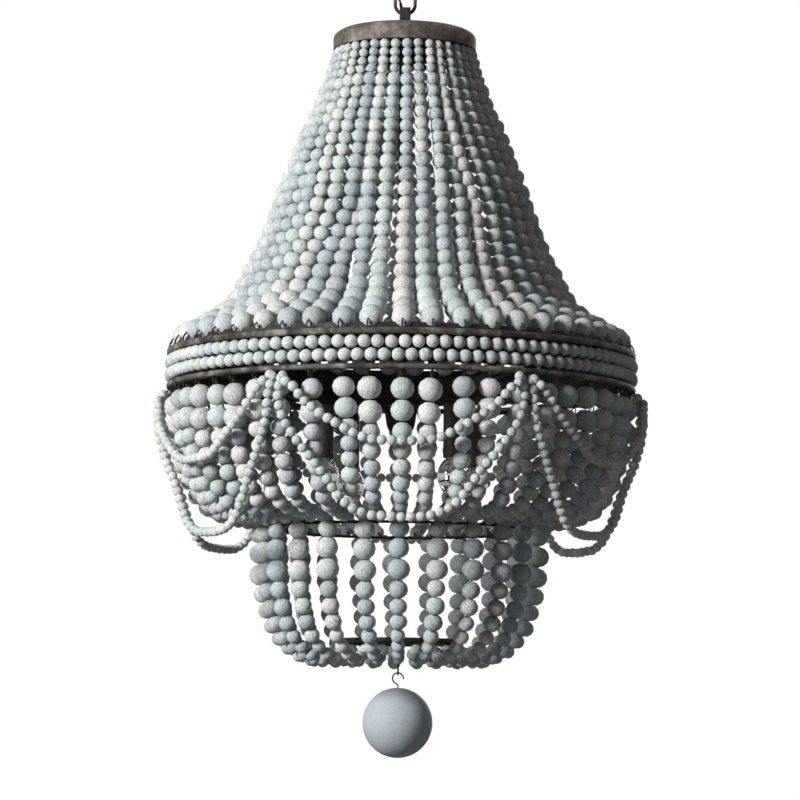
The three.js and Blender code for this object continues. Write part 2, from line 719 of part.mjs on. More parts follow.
// Lights, hanging from the spider's flat stretch
const underSpider = spiderDrop + spiderBarThickness / 2 + clearance;
const socketRadius = sleeveRadius - sleeveWall - clearance;
const socketBoreRadius = socketRadius - socketWall;
const socketBoreDepth = bulbBaseLength + overrun;
const socketLength = socketBoreDepth + socketBody;
const socketProfile = [
  [0, -underSpider - sleeveLength + socketBoreDepth],
  [socketBoreRadius, -underSpider - sleeveLength + socketBoreDepth],
  [socketBoreRadius, -underSpider - sleeveLength + overrun],
  [socketRadius, -underSpider - sleeveLength + overrun],
  [socketRadius, -underSpider - sleeveLength + socketLength],
  [socketRadius / 2, -underSpider - sleeveLength + socketLength],
  [socketRadius / 2, -underSpider],
  [0, -underSpider],
];
const sleeveProfile = [
  [sleeveRadius - sleeveWall, -underSpider - sleeveLength],
  [sleeveRadius, -underSpider - sleeveLength],
  [sleeveRadius, -underSpider],
  [sleeveRadius - sleeveWall, -underSpider],
  [sleeveRadius - sleeveWall, -underSpider - sleeveLength],
];
const bulbTop = underSpider + sleeveLength + clearance;
const bulbBaseRadius = socketBoreRadius - bulbBaseGap;
const bulbWaistShares = [[0.52, 0.06], [0.92, 0.26], [1, 0.4], [0.86, 0.6], [0.5, 0.82], [0.16, 0.96]];
const bulbProfile = [
  [0, -bulbTop - bulbGlassLength],
  ...bulbWaistShares.map(([across, down]) => [bulbRadius * across, -bulbTop - bulbGlassLength * down]).reverse(),
  [bulbBaseRadius, -bulbTop],
  [bulbBaseRadius, -bulbTop + bulbBaseLength],
  [0, -bulbTop + bulbBaseLength],
];
lightAngles.forEach((angle, i) => {
  const place = polar(lightCircleRadius, angle, 0);
  [
    [`socket_${i + 1}`, socketProfile, finish.socket],
    [`candle_sleeve_${i + 1}`, sleeveProfile, finish.sleeve],
    [`bulb_${i + 1}`, bulbProfile, finish.glass],
  ].forEach(([name, profile, look]) => {
    addMesh(name, turned(profile, 10), look).position.copy(place);
  });
});

// Finial: a rod across the bottom ring, a wire hanger, and a ball on an open hook
const crossbarDrop = bottomRingDrop + bottomRingHeight / 2;
const crossbarReach = (bottomRingRadius - bottomRingWall) * Math.cos(Math.PI / waistSegments) - clearance;
const crossbar = new THREE.CylinderGeometry(crossbarWire / 2, crossbarWire / 2, 2 * crossbarReach, 6)
  .rotateZ(Math.PI / 2);
addMesh('finial_crossbar', crossbar, finish.frameIron).position.z = -crossbarDrop;

const hangerTopEye = crossbarWire / 2 + clearance + hangerWire / 2;
const finialPivotDrop = crossbarDrop + hangerLength;
const hangerBottomEyeDrop = finialPivotDrop - hangerEyeRadius;
const eyeInPlane = (radius, drop) => new THREE.TorusGeometry(radius, hangerWire / 2, 4, 10)
  .rotateY(Math.PI / 2).translate(0, 0, -drop);
const hangerShankTop = crossbarDrop + hangerTopEye;
const hangerShank = cylinder(
  hangerWire / 2, hangerShankTop, hangerBottomEyeDrop - hangerEyeRadius - hangerShankTop, 6,
);
addMesh('finial_hanger', join([
  eyeInPlane(hangerTopEye, crossbarDrop), hangerShank, eyeInPlane(hangerEyeRadius, hangerBottomEyeDrop),
]), finish.frameIron);

const hookWireRadius = finialHookWire / 2;
const hookTopDrop = finialPivotDrop - hangerWire / 2 - clearance - hookWireRadius;
const hookCentreDrop = hookTopDrop + finialHookRadius;
const hookOpenAngle = -8 * degrees;
const hookSteps = 18;
const hookPoints = [];
for (let i = 0; i <= hookSteps; i += 1) {
  const angle = mix(hookOpenAngle, 2 * Math.PI - Math.PI / 2, i / hookSteps);
  hookPoints.push(new THREE.Vector3(
    finialHookRadius * Math.cos(angle), 0, -hookCentreDrop + finialHookRadius * Math.sin(angle),
  ));
}
const hookCurl = taperedTube(
  hookPoints, hookPoints.map(() => hookWireRadius), 5, () => new THREE.Vector3(0, 1, 0),
);
const hookBase = hookCentreDrop + finialHookRadius;
const ballTopDrop = hookBase + finialNeck;
const finialBallDrop = ballTopDrop + finialBallRadius;
const hookShank = cylinder(hookWireRadius, hookBase - hookWireRadius / 2, ballTopDrop + finialShankLength - hookBase, 6);
addMesh('finial_hook', join([hookCurl, hookShank]), finish.frameIron);

const ballArcSteps = 9;
const ballBoreAngle = Math.asin(finialBoreRadius / finialBallRadius);
const ballProfile = [];
for (let i = 0; i <= ballArcSteps; i += 1) {
  const angle = mix(Math.PI, ballBoreAngle, i / ballArcSteps);
  ballProfile.push([
    i === 0 ? 0 : finialBallRadius * Math.sin(angle), -finialBallDrop + finialBallRadius * Math.cos(angle),
  ]);
}
const ballBoreBase = -ballTopDrop - finialShankLength - overrun;
addMesh('finial_ball', turned([...ballProfile, [finialBoreRadius, ballBoreBase], [0, ballBoreBase]], 16), finish.ball);

// Lead, wound once down the chain, through the cap and inside the stem to the hub
const leadStartDrop = strapThickness;
const leadSides = 8;
const leadPoints = [[0, 0, leadStartDrop], [0, 0, loopNeckBottomDrop - linkWireRadius]];
const quarterSteps = 2;
const firstCrossing = loopRingDrop + loopRingRadius - linkReach / 2;
for (let i = 0; i <= linkCount * quarterSteps; i += 1) {
  const angle = (45 - (90 / quarterSteps) * i) * degrees;
  leadPoints.push([
    leadTwistRadius * Math.cos(angle), leadTwistRadius * Math.sin(angle),
    firstCrossing + (linkPitch / quarterSteps) * i,
  ]);
}
const archSide = archHalfOutside + leadDiameter;
leadPoints.pop();
leadPoints.push([-leadTwistRadius / 2, archSide, -archRoof - capArchThickness]);
leadPoints.push([0, leadEntryOffset - leadDiameter, capTopDrop - 3 * leadDiameter]);
leadPoints.push([0, leadEntryOffset, capTopDrop - leadDiameter / 2]);
leadPoints.push([0, leadEntryOffset - leadDiameter, stemSlotTopDrop - leadDiameter]);
leadPoints.push([0, stemRadius, stemSlotTopDrop + stemSlotLength / 2]);
leadPoints.push([0, 0, stemSlotTopDrop + stemSlotLength + leadDiameter]);
const leadRoute = new THREE.CatmullRomCurve3(leadPoints.map(([x, y, drop]) => new THREE.Vector3(x, y, -drop)));
const leadSteps = 30;
const leadEndDrop = hubCupTop + hubCupDepth - hubCupWall - leadDiameter;
const leadRings = [...leadRoute.getPoints(leadSteps), new THREE.Vector3(0, 0, -leadEndDrop)];
addMesh('supply_lead', taperedTube(
  leadRings, leadRings.map(() => leadDiameter / 2), leadSides, () => new THREE.Vector3(1, 0, 0),
), finish.lead);

export default part;
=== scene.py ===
# Beaded chandelier: chalky painted wooden beads strung on a rusty iron frame, hung on a short chain.
# Sections and profiles are (radius, drop) points and places are (x, y, z), both in millimetres.
import math

import bpy
import numpy as np
from mathutils import Euler, Matrix, Vector


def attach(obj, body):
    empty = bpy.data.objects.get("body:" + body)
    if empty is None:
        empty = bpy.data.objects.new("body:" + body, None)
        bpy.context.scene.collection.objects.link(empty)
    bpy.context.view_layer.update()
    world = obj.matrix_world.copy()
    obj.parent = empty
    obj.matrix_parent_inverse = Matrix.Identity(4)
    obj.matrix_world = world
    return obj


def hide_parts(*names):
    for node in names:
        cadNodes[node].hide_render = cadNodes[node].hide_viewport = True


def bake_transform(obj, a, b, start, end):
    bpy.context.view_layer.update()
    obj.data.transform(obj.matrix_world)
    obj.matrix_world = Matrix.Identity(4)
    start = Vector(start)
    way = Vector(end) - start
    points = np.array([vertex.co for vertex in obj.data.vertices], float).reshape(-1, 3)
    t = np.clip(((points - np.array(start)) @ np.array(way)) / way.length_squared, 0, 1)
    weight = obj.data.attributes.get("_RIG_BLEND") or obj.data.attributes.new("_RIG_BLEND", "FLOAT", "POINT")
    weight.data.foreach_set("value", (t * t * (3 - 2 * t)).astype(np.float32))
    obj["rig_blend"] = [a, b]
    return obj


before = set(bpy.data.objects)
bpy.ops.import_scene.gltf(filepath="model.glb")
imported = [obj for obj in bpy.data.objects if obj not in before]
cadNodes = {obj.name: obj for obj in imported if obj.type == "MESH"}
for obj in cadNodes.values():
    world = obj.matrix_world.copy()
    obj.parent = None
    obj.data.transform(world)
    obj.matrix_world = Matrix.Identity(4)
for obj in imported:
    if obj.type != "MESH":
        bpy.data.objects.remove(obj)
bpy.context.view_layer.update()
chance = np.random.default_rng(27)
mm = 0.001
mergeReach = 1e-6  # in metres


# Shared ways of working
def clearSelection():
    if bpy.context.object and bpy.context.object.mode != "OBJECT":
        bpy.ops.object.mode_set(mode="OBJECT")
    bpy.ops.object.select_all(action="DESELECT")


def makeActive(piece):
    clearSelection()
    piece.select_set(True)
    bpy.context.view_layer.objects.active = piece


def namePiece(piece, name):
    piece.name = name
    piece.data.name = name
    return piece


def applyPlace(piece):
    makeActive(piece)
    bpy.ops.object.transform_apply(location=True, rotation=True, scale=True)


def applyModifier(piece, kind, **settings):
    makeActive(piece)
    modifier = piece.modifiers.new(kind.lower(), kind)
    for key, value in settings.items():
        setattr(modifier, key, value)
    bpy.ops.object.modifier_apply(modifier=modifier.name)


def easeEdges(piece, width, sharper=40):
    applyModifier(piece, "BEVEL", width=width * mm, segments=2, limit_method="ANGLE",
                  angle_limit=math.radians(sharper))


def cutAway(piece, cutter):
    applyModifier(piece, "BOOLEAN", operation="DIFFERENCE", solver="EXACT", object=cutter)
    bpy.data.objects.remove(cutter)


def joinPieces(name, pieces):
    clearSelection()
    for piece in pieces:
        piece.select_set(True)
    bpy.context.view_layer.objects.active = pieces[0]
    if len(pieces) > 1:
        bpy.ops.object.join()
    return namePiece(bpy.context.object, name)


def copyPiece(piece, name):
    copied = piece.copy()
    copied.data = piece.data.copy()
    copied.name = name
    bpy.context.scene.collection.objects.link(copied)
    return copied


def setMaterial(piece, material):
    piece.data.materials.clear()
    piece.data.materials.append(material)


# Places the finished piece on its body in place of the plain solid
def handOver(piece, body, nodeName, material=None, smooth=None):
    if material:
        setMaterial(piece, material)
    applyPlace(piece)
    if smooth:
        bpy.ops.object.shade_smooth_by_angle(angle=math.radians(smooth))
    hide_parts(nodeName)
    if body:
        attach(piece, body)


# Leaves the piece in edit mode with the vertices selected that the test picks
def editVertices(piece, isPicked):
    makeActive(piece)
    bpy.ops.object.mode_set(mode="EDIT")
    bpy.ops.mesh.select_mode(type="VERT")
    bpy.ops.mesh.select_all(action="DESELECT")
    bpy.ops.object.mode_set(mode="OBJECT")
    for vertex in piece.data.vertices:
        vertex.select = isPicked(vertex.co)
    bpy.ops.object.mode_set(mode="EDIT")


# Merges doubled points in edit mode and turns the faces outwards
def closeMesh(piece, name):
    bpy.ops.mesh.select_all(action="SELECT")
    bpy.ops.mesh.remove_doubles(threshold=mergeReach)
    bpy.ops.mesh.normals_make_consistent(inside=False)
    bpy.ops.mesh.select_mode(type="VERT")
    bpy.ops.object.mode_set(mode="OBJECT")
    return namePiece(piece, name)


# Turns a section round the vertical axis, with no edge from its end to its start where it lies on the axis
def turnedPiece(name, section, steps, onAxis=False):
    clearSelection()
    bpy.ops.mesh.primitive_circle_add(vertices=len(section), radius=0.01)
    piece = bpy.context.object
    for vertex, (radius, drop) in zip(piece.data.vertices, section):
        vertex.co = (radius * mm, 0, -drop * mm)
    bpy.ops.object.mode_set(mode="EDIT")
    bpy.ops.mesh.select_mode(type="EDGE")
    if onAxis:
        bpy.ops.mesh.select_all(action="DESELECT")
        bpy.ops.object.mode_set(mode="OBJECT")
        for edge in piece.data.edges:
            edge.select = set(edge.vertices) == {0, len(section) - 1}
        bpy.ops.object.mode_set(mode="EDIT")
        bpy.ops.mesh.delete(type="EDGE")
    bpy.ops.mesh.select_all(action="SELECT")
    bpy.ops.mesh.spin(steps=steps, angle=2 * math.pi, center=(0, 0, 0), axis=(0, 0, 1))
    return closeMesh(piece, name)


# A round wire through places
def wirePiece(name, points, radius, sides, closed=False):
    clearSelection()
    bpy.ops.curve.primitive_bezier_curve_add()
    curve = bpy.context.object
    curve.location = (0, 0, 0)
    curve.data.splines.clear()
    spline = curve.data.splines.new("POLY")
    spline.points.add(len(points) - 1)
    for place, point in zip(spline.points, points):
        place.co = (point[0] * mm, point[1] * mm, point[2] * mm, 1)
    spline.use_cyclic_u = closed
    curve.data.dimensions = "3D"
    curve.data.bevel_depth = radius * mm
    curve.data.bevel_resolution = (sides - 4) // 2
    curve.data.use_fill_caps = True
    bpy.ops.object.convert(target="MESH")
    bpy.ops.object.mode_set(mode="EDIT")
    return closeMesh(bpy.context.object, name)


# A box of a size round a place, turned about the vertical axis
def boxPiece(size, place, turn=0.0):
    clearSelection()
    bpy.ops.mesh.primitive_cube_add(size=1, location=[v * mm for v in place], rotation=(0, 0, turn))
    box = bpy.context.object
    box.scale = [v * mm for v in size]
    applyPlace(box)
    return box


# A copy of a plain solid with its edges eased, in its place
def refineSolid(nodeName, name, body, edge, material):
    piece = copyPiece(cadNodes[nodeName], name)
    piece.parent = None
    for key in list(piece.keys()):
        if key.startswith("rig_"):
            del piece[key]
    makeActive(piece)
    bpy.ops.object.mode_set(mode="EDIT")
    bpy.ops.mesh.select_all(action="SELECT")
    bpy.ops.mesh.remove_doubles(threshold=mergeReach)
    bpy.ops.mesh.dissolve_limited(angle_limit=math.radians(1))
    bpy.ops.object.mode_set(mode="OBJECT")
    easeEdges(piece, edge, 35)
    handOver(piece, body, nodeName, material, smooth=40)


# Even samples of a smooth line through points, with the length up to each
def smoothPath(points, count=400, perSpan=24):
    knots = np.array(points, float)
    padded = np.vstack([2 * knots[0] - knots[1], knots, 2 * knots[-1] - knots[-2]])
    gaps = np.linalg.norm(np.diff(padded, axis=0), axis=1)
    steps = np.concatenate([[0], np.cumsum(np.sqrt(gaps))])
    samples = []
    for i in range(1, len(padded) - 2):
        p0, p1, p2, p3 = padded[i - 1:i + 3]
        t0, t1, t2, t3 = steps[i - 1:i + 3]
        t = np.linspace(t1, t2, perSpan, endpoint=False)[:, None]
        a1 = (t1 - t) / (t1 - t0) * p0 + (t - t0) / (t1 - t0) * p1
        a2 = (t2 - t) / (t2 - t1) * p1 + (t - t1) / (t2 - t1) * p2
        a3 = (t3 - t) / (t3 - t2) * p2 + (t - t2) / (t3 - t2) * p3
        b1 = (t2 - t) / (t2 - t0) * a1 + (t - t0) / (t2 - t0) * a2
        b2 = (t3 - t) / (t3 - t1) * a2 + (t - t1) / (t3 - t1) * a3
        samples.append((t2 - t) / (t2 - t1) * b1 + (t - t1) / (t2 - t1) * b2)
    line = np.vstack(samples + [knots[-1:]])
    length = np.concatenate([[0], np.cumsum(np.linalg.norm(np.diff(line, axis=0), axis=1))])
    even = np.linspace(0, length[-1], count)
    return np.stack([np.interp(even, length, line[:, k]) for k in range(3)], axis=1), even


# Materials
# A linear colour from a six-digit hex code
def paint(code):
    values = [int(code[i:i + 2], 16) / 255 for i in (0, 2, 4)]
    return tuple(v / 12.92 if v <= 0.04045 else ((v + 0.055) / 1.055) ** 2.4 for v in values) + (1,)


# Short ways to add nodes to a tree
class nodeTools:
    def __init__(self, tree):
        self.tree = tree

    def feed(self, socket, value):
        if isinstance(value, bpy.types.NodeSocket):
            self.tree.links.new(value, socket)
        else:
            socket.default_value = value

    def add(self, kind, inputs=None, **settings):
        made = self.tree.nodes.new("ShaderNode" + kind)
        for key, value in settings.items():
            setattr(made, key, value)
        for key, value in (inputs or {}).items():
            self.feed(made.inputs[key], value)
        return made

    def attribute(self, name):
        return self.add("Attribute", attribute_name=name).outputs["Vector"]

    def ramp(self, factor, stops):
        made = self.add("ValToRGB", {"Fac": factor})
        marks = made.color_ramp.elements
        for i, (place, code) in enumerate(stops):
            mark = marks[i] if i < 2 else marks.new(place)
            mark.position = place
            mark.color = paint(code)
        return made.outputs["Color"]

    def grey(self, factor, low, high, dark=0.0, light=1.0):
        return self.add("MapRange", {"Value": factor, "From Min": low, "From Max": high,
                                     "To Min": dark, "To Max": light}).outputs["Result"]

    def noise(self, place, scale, detail=4.0, rough=0.55):
        return self.add("TexNoise", {"Vector": place, "Scale": scale, "Detail": detail,
                                     "Roughness": rough}).outputs["Fac"]

    def stretch(self, place, scale):
        return self.add("Mapping", {"Vector": place, "Scale": scale}).outputs["Vector"]

    def mix(self, share, under, over, mode="MIX"):
        return self.add("Mix", {0: share, 6: under, 7: over}, data_type="RGBA", blend_type=mode).outputs[2]

    def math(self, mode, first, second):
        return self.add("Math", {0: first, 1: second}, operation=mode).outputs[0]


class surfaceFinish(nodeTools):
    def __init__(self, name, **sockets):
        self.material = bpy.data.materials.new(name)
        self.material.use_nodes = True
        super().__init__(self.material.node_tree)
        self.shader = self.tree.nodes["Principled BSDF"]
        for key, value in sockets.items():
            self.shader.inputs[key.replace("_", " ")].default_value = value

    def finish(self, colour, rough=None, height=None, bump=0.3, depth=0.0004):
        self.feed(self.shader.inputs["Base Color"], colour)
        if rough is not None:
            self.feed(self.shader.inputs["Roughness"], rough)
        if height is not None:
            made = self.add("Bump", {"Height": height, "Strength": bump, "Distance": depth})
            self.feed(self.shader.inputs["Normal"], made.outputs["Normal"])
        return self.material


beadPaintSettings = {
    "tones": [(0.0, "b9c5cb"), (0.12, "c1d0d6"), (0.25, "c9d8d5"), (0.38, "d5e0dc"), (0.5, "e1e5e1"),
              (0.62, "e4e2e2"), (0.75, "d3d5d8"), (0.88, "c6cdd6"), (1.0, "b8c1be")],
    # the grime colour also serves as painted shade in each bead's bore hole
    "chalkCode": "eceeea", "woodCode": "8b8477", "dirtAndBoreShadeCode": "4a4743",
    "chalkScale": 380, "grainScale": (760, 760, 170), "crackScale": 480, "speckleScale": 900,
    "chalkShare": 0.45, "wearSpread": (0.3, 0.85), "crackShare": (0.6, 0.12), "speckleShare": 0.45,
    "shades": (0.84, 1.06), "rough": (0.74, 0.92), "bump": 0.85, "bumpDepth": 0.0009,
}


# Chalky paint rubbed back to the wood, with its own tone on each bead
def makeBeadPaint(tones, chalkCode, woodCode, dirtAndBoreShadeCode, chalkScale, grainScale, crackScale, speckleScale,
                  chalkShare, wearSpread, crackShare, speckleShare, shades, rough, bump, bumpDepth):
    look = surfaceFinish("chalkyBeadPaint", Specular_IOR_Level=0.12)
    tone = look.add("SeparateXYZ", {"Vector": look.attribute("beadTone")}).outputs
    place = look.attribute("beadPlace")
    end = look.add("Attribute", attribute_name="beadEnd").outputs["Fac"]
    dirtAndBoreShade = paint(dirtAndBoreShadeCode)
    colour = look.ramp(tone["X"], tones)
    # chalk in soft patches, then wood along the grain where the paint is rubbed away
    chalk = look.noise(place, chalkScale, 5, 0.65)
    colour = look.mix(look.grey(chalk, 0.45, 0.7, 0, chalkShare), colour, paint(chalkCode))
    grain = look.noise(look.stretch(place, grainScale), 1, 4, 0.65)
    wear = look.math("MULTIPLY", look.grey(grain, 0.48, 0.68), look.grey(tone["Z"], 0, 1, *wearSpread))
    colour = look.mix(wear, colour, paint(woodCode))
    # grime in fine cracks and in specks, and painted shade in the bore hole round each end
    cracks = look.add("TexVoronoi", {"Vector": place, "Scale": crackScale}, feature="DISTANCE_TO_EDGE")
    crackLine = look.grey(cracks.outputs["Distance"], 0.0, 0.12, 1, 0)
    crackDirt = look.math("MULTIPLY", crackLine, look.grey(chalk, 0.38, 0.62, *crackShare))
    colour = look.mix(crackDirt, colour, dirtAndBoreShade)
    speckle = look.noise(place, speckleScale, 2, 0.5)
    colour = look.mix(look.grey(speckle, 0.56, 0.68, 0, speckleShare), colour, dirtAndBoreShade)
    # painted shade: the bore is only a shallow dimple, so the dark of its hole is painted round each end of the bead
    colour = look.mix(look.grey(end, 0.955, 0.985, 0, 0.8), colour, dirtAndBoreShade)
    # some beads a little darker all over
    shade = look.grey(tone["Y"], 0, 1, *shades)
    shadeColour = look.add("CombineColor", {0: shade, 1: shade, 2: shade}).outputs[0]
    colour = look.mix(1.0, colour, shadeColour, "MULTIPLY")
    height = look.math("SUBTRACT", look.math("ADD", chalk, look.math("MULTIPLY", grain, 0.8)),
                       look.math("MULTIPLY", crackLine, 0.5))
    return look.finish(colour, look.grey(chalk, 0.3, 0.7, *rough), height, bump, bumpDepth)


ballPaintSettings = {
    "paintCode": "a0a8af", "chalkCode": "b1b8be", "woodCode": "77797b",
    "grainScale": (900, 900, 90), "chalkScale": 260, "speckleScale": 1300,
    "chalkShare": 0.5, "grainShare": 0.35, "speckleShare": 0.3, "rough": (0.6, 0.8),
    "bump": 0.35, "bumpDepth": 0.0005,
}


# Smoother paint on the ball, with faint turning marks along its grain
def makeBallPaint(paintCode, chalkCode, woodCode, grainScale, chalkScale, speckleScale, chalkShare, grainShare,
                  speckleShare, rough, bump, bumpDepth):
    look = surfaceFinish("chalkyBallPaint", Specular_IOR_Level=0.2)
    place = look.attribute("beadPlace")
    grain = look.noise(look.stretch(place, grainScale), 1, 5, 0.6)
    chalk = look.noise(place, chalkScale, 5, 0.6)
    speckle = look.noise(place, speckleScale, 2, 0.5)
    colour = look.mix(look.grey(chalk, 0.4, 0.65, 0, chalkShare), paint(paintCode), paint(chalkCode))
    colour = look.mix(look.grey(grain, 0.52, 0.72, 0, grainShare), colour, paint(woodCode))
    colour = look.mix(look.grey(speckle, 0.6, 0.72, 0, speckleShare), colour, paint(woodCode))
    height = look.math("ADD", chalk, grain)
    return look.finish(colour, look.grey(chalk, 0.3, 0.7, *rough), height, bump, bumpDepth)


# Old iron with rust and dust in patches, and a green-grey bloom where it is given
def makeIron(name, dark, mid, pale, scale, metal, rough, bloom=None):
    look = surfaceFinish(name, Metallic=metal, Specular_IOR_Level=0.25)
    place = look.add("TexCoord").outputs["Object"]
    patches = look.noise(place, scale, 5, 0.65)
    fine = look.noise(place, scale * 9, 4, 0.6)
    pits = look.noise(place, scale * 40, 3, 0.5)
    colour = look.ramp(patches, [(0.4, dark), (0.62, pale), (0.5, mid)])
    if bloom:
        spread = look.noise(place, scale * 0.7, 3, 0.5)
        colour = look.mix(look.grey(spread, 0.5, 0.62, 0, 0.7), colour, paint(bloom))
    colour = look.mix(look.grey(fine, 0.4, 0.7, 0, 0.5), colour, paint(dark))
    colour = look.mix(look.grey(pits, 0.6, 0.75, 0, 0.4), colour, paint(pale))
    height = look.math("ADD", fine, look.math("MULTIPLY", pits, 0.5))
    return look.finish(colour, look.grey(fine, 0.3, 0.7, rough - 0.12, rough + 0.16), height, 0.45, 0.0004)


# Plain stuff with slight wear
def makePlain(name, light, dark, scale, rough, metal=0.0):
    look = surfaceFinish(name, Metallic=metal)
    place = look.add("TexCoord").outputs["Object"]
    patches = look.noise(place, scale, 4, 0.6)
    fine = look.noise(place, scale * 8, 3, 0.5)
    colour = look.mix(look.grey(patches, 0.3, 0.7), paint(dark), paint(light))
    return look.finish(colour, look.grey(fine, 0.3, 0.7, rough - 0.08, rough + 0.1), fine, 0.15, 0.0002)


beadPaint = makeBeadPaint(**beadPaintSettings)
ballPaint = makeBallPaint(**ballPaintSettings)
# dark, middle and pale tone, scale of the patches, share of metal, roughness, bloom
capIron = makeIron("rustyCapIron", "322d2a", "594f49", "ab9b93", 11, 0.1, 0.74, "55574d")
bandIron = makeIron("rustyBandIron", "262421", "4a4640", "85827a", 40, 0.15, 0.72, "55574e")
chainIron = makeIron("darkChainIron", "1d1a18", "3a322d", "5a4c43", 60, 0.55, 0.6)
frameIron = makeIron("darkFrameIron", "1c1a19", "2b2725", "433c38", 40, 0.35, 0.65)
canopyIron = makeIron("weatheredCanopyIron", "312c29", "4c433d", "6d6159", 26, 0.35, 0.66)
# light and dark tone, scale of the patches, roughness, share of metal
hookIron = makePlain("blackHookWire", "2a2725", "141211", 300, 0.5, 0.6)
stringCord = makePlain("waxedString", "4b443c", "2a2622", 400, 0.85)
sleevePlastic = makePlain("darkSleeve", "3a332e", "211d1b", 60, 0.6)
socketPlastic = makePlain("blackSocket", "2a2624", "161413", 90, 0.45)
leadPlastic = makePlain("brownLead", "2a211d", "171210", 200, 0.5)
strapSteel = makePlain("platedSteel", "a5a39c", "6e6b65", 120, 0.38, 0.9)
baseBrass = makePlain("bulbBaseBrass", "b89a62", "7d6236", 200, 0.35, 1.0)
filamentWire = makePlain("filamentWire", "6d6a66", "45423f", 500, 0.4, 0.9)
bulbGlass = surfaceFinish("clearBulbGlass", Base_Color=(1, 1, 1, 1), Roughness=0.03, IOR=1.45,
                          Transmission_Weight=1.0).material
print("materials made")

# Camera, in metres and degrees
cameraSettings = {"distance": 4.681, "eyeHeight": -1.120, "aside": -0.0012, "pitch": 5.5, "roll": 0.62,
                  "lens": 169.2, "sensor": 36, "farthest": 60}


def placeCamera(distance, eyeHeight, aside, pitch, roll, lens, sensor, farthest):
    bpy.ops.object.camera_add(location=(aside, -distance, eyeHeight))
    camera = bpy.context.object
    camera.matrix_world = (
        Matrix.Translation(camera.location)
        @ Matrix.Rotation(math.radians(90 + pitch), 4, "X")
        @ Matrix.Rotation(math.radians(roll), 4, "Z")
    )
    camera.data.lens = lens
    camera.data.sensor_width = sensor
    camera.data.clip_end = farthest
    bpy.context.scene.camera = camera
    print("camera set")


placeCamera(**cameraSettings)

# One bead is shaped, then copied along each string
beadShapeSettings = {"segments": 12, "rings": 6, "boreDepth": 0.97, "fullness": 1.03}
beadSettings = {"sizeSpread": 0.016, "shiftSpread": 0.2, "tiltSpread": 5.0, "patternShift": 3}
stringSettings = {"variants": 8, "spread": 0.03, "aside": 0.3, "cord": 0.8, "cordPoints": 26,
                  "hookWire": 0.95, "hookTurn": 45, "hookPoints": 10}
toneSettings = {"startSpread": 0.04, "shade": 0.6, "shadeSpread": 0.2, "stringSpread": 0.12}


# A unit bead with a small dimple at each end of its bore, its axis along Z
def shapeBead(segments, rings, boreDepth, fullness):
    clearSelection()
    bpy.ops.mesh.primitive_uv_sphere_add(segments=segments, ring_count=rings, radius=0.5)
    bead = bpy.context.object
    editVertices(bead, lambda co: abs(co.z) > 0.4999)
    bpy.ops.transform.resize(value=(1, 1, boreDepth), center_override=(0, 0, 0))
    bpy.ops.mesh.select_all(action="SELECT")
    bpy.ops.transform.resize(value=(fullness,) * 3, center_override=(0, 0, 0))
    bpy.ops.object.mode_set(mode="OBJECT")
    setMaterial(bead, beadPaint)
    bpy.ops.object.shade_smooth()
    return namePiece(bead, "beadShape")


beadShape = shapeBead(**beadShapeSettings)
hiddenShapes = [beadShape]


def setPointValues(piece, name, kind, values):
    attributes = piece.data.attributes
    attribute = attributes.get(name) or attributes.new(name, kind, "POINT")
    field, form = {"FLOAT_VECTOR": ("vector", np.float32), "FLOAT": ("value", np.float32),
                   "INT": ("value", np.int32)}[kind]
    attribute.data.foreach_set(field, np.ascontiguousarray(values, form).ravel())


# A copy of the bead, centred at a place, with its bore along a direction
def placedBead(place, along, size, tall, index):
    bead = copyPiece(beadShape, "bead")
    co = np.array([v.co for v in bead.data.vertices])
    setPointValues(bead, "beadPlace", "FLOAT_VECTOR", co * size * mm)
    setPointValues(bead, "beadEnd", "FLOAT", np.abs(co[:, 2]) * 2)
    setPointValues(bead, "beadIndex", "INT", np.full(len(co), index))
    turn = Vector(along).to_track_quat("Z", "Y").to_matrix().to_4x4()
    grown = Matrix.Diagonal((size * mm, size * mm, tall * mm, 1))
    bead.data.transform(Matrix.Translation(Vector(place) * mm) @ turn @ grown)
    return bead


# A wire on a string, with a number that says that it is no bead
def plainWire(name, points, radius, closed, material):
    wire = wirePiece(name, points, radius, 4, closed)
    setPointValues(wire, "beadIndex", "INT", np.full(len(wire.data.vertices), -1))
    setMaterial(wire, material)
    return wire


# Beads along a sampled line from a start, sized to end where the line does
def beadsAlong(line, length, sizes, widths, start, gap, spread=0.0):
    uneven = 1 + chance.normal(0, 1, len(sizes)) * spread
    heights, widths = np.array(sizes) * uneven, np.array(widths) * uneven
    room = length[-1] - start
    count = int(np.argmin(np.abs(np.cumsum(heights + gap) - room))) + 1
    scale = (room - gap * count) / heights[:count].sum()

    def placeAt(reach):
        return np.array([np.interp(reach, length, line[:, k]) for k in range(3)])

    beads, at = [], start
    for width, tall in zip(widths[:count], heights[:count] * scale):
        at += tall / 2
        beads.append((placeAt(at), placeAt(at + 0.5) - placeAt(at - 0.5), width, tall))
        at += tall / 2 + gap
    return beads


# One string of beads with its cord and wire hooks, each point marked with its bead's number
def stringTemplate(name, beads, line, hooks):
    pieces = [placedBead(*bead, i) for i, bead in enumerate(beads)]
    cordPoints = line[::len(line) // stringSettings["cordPoints"]]
    if not np.allclose(cordPoints[-1], line[-1]):
        cordPoints = np.vstack([cordPoints, line[-1:]])
    pieces.append(plainWire("cord", cordPoints, stringSettings["cord"], False, stringCord))
    for points in hooks:
        pieces.append(plainWire("hook", points, stringSettings["hookWire"], True, hookIron))
    made = joinPieces(name, pieces)
    hiddenShapes.append(made)
    return made, np.array([bead[0] for bead in beads]) * mm


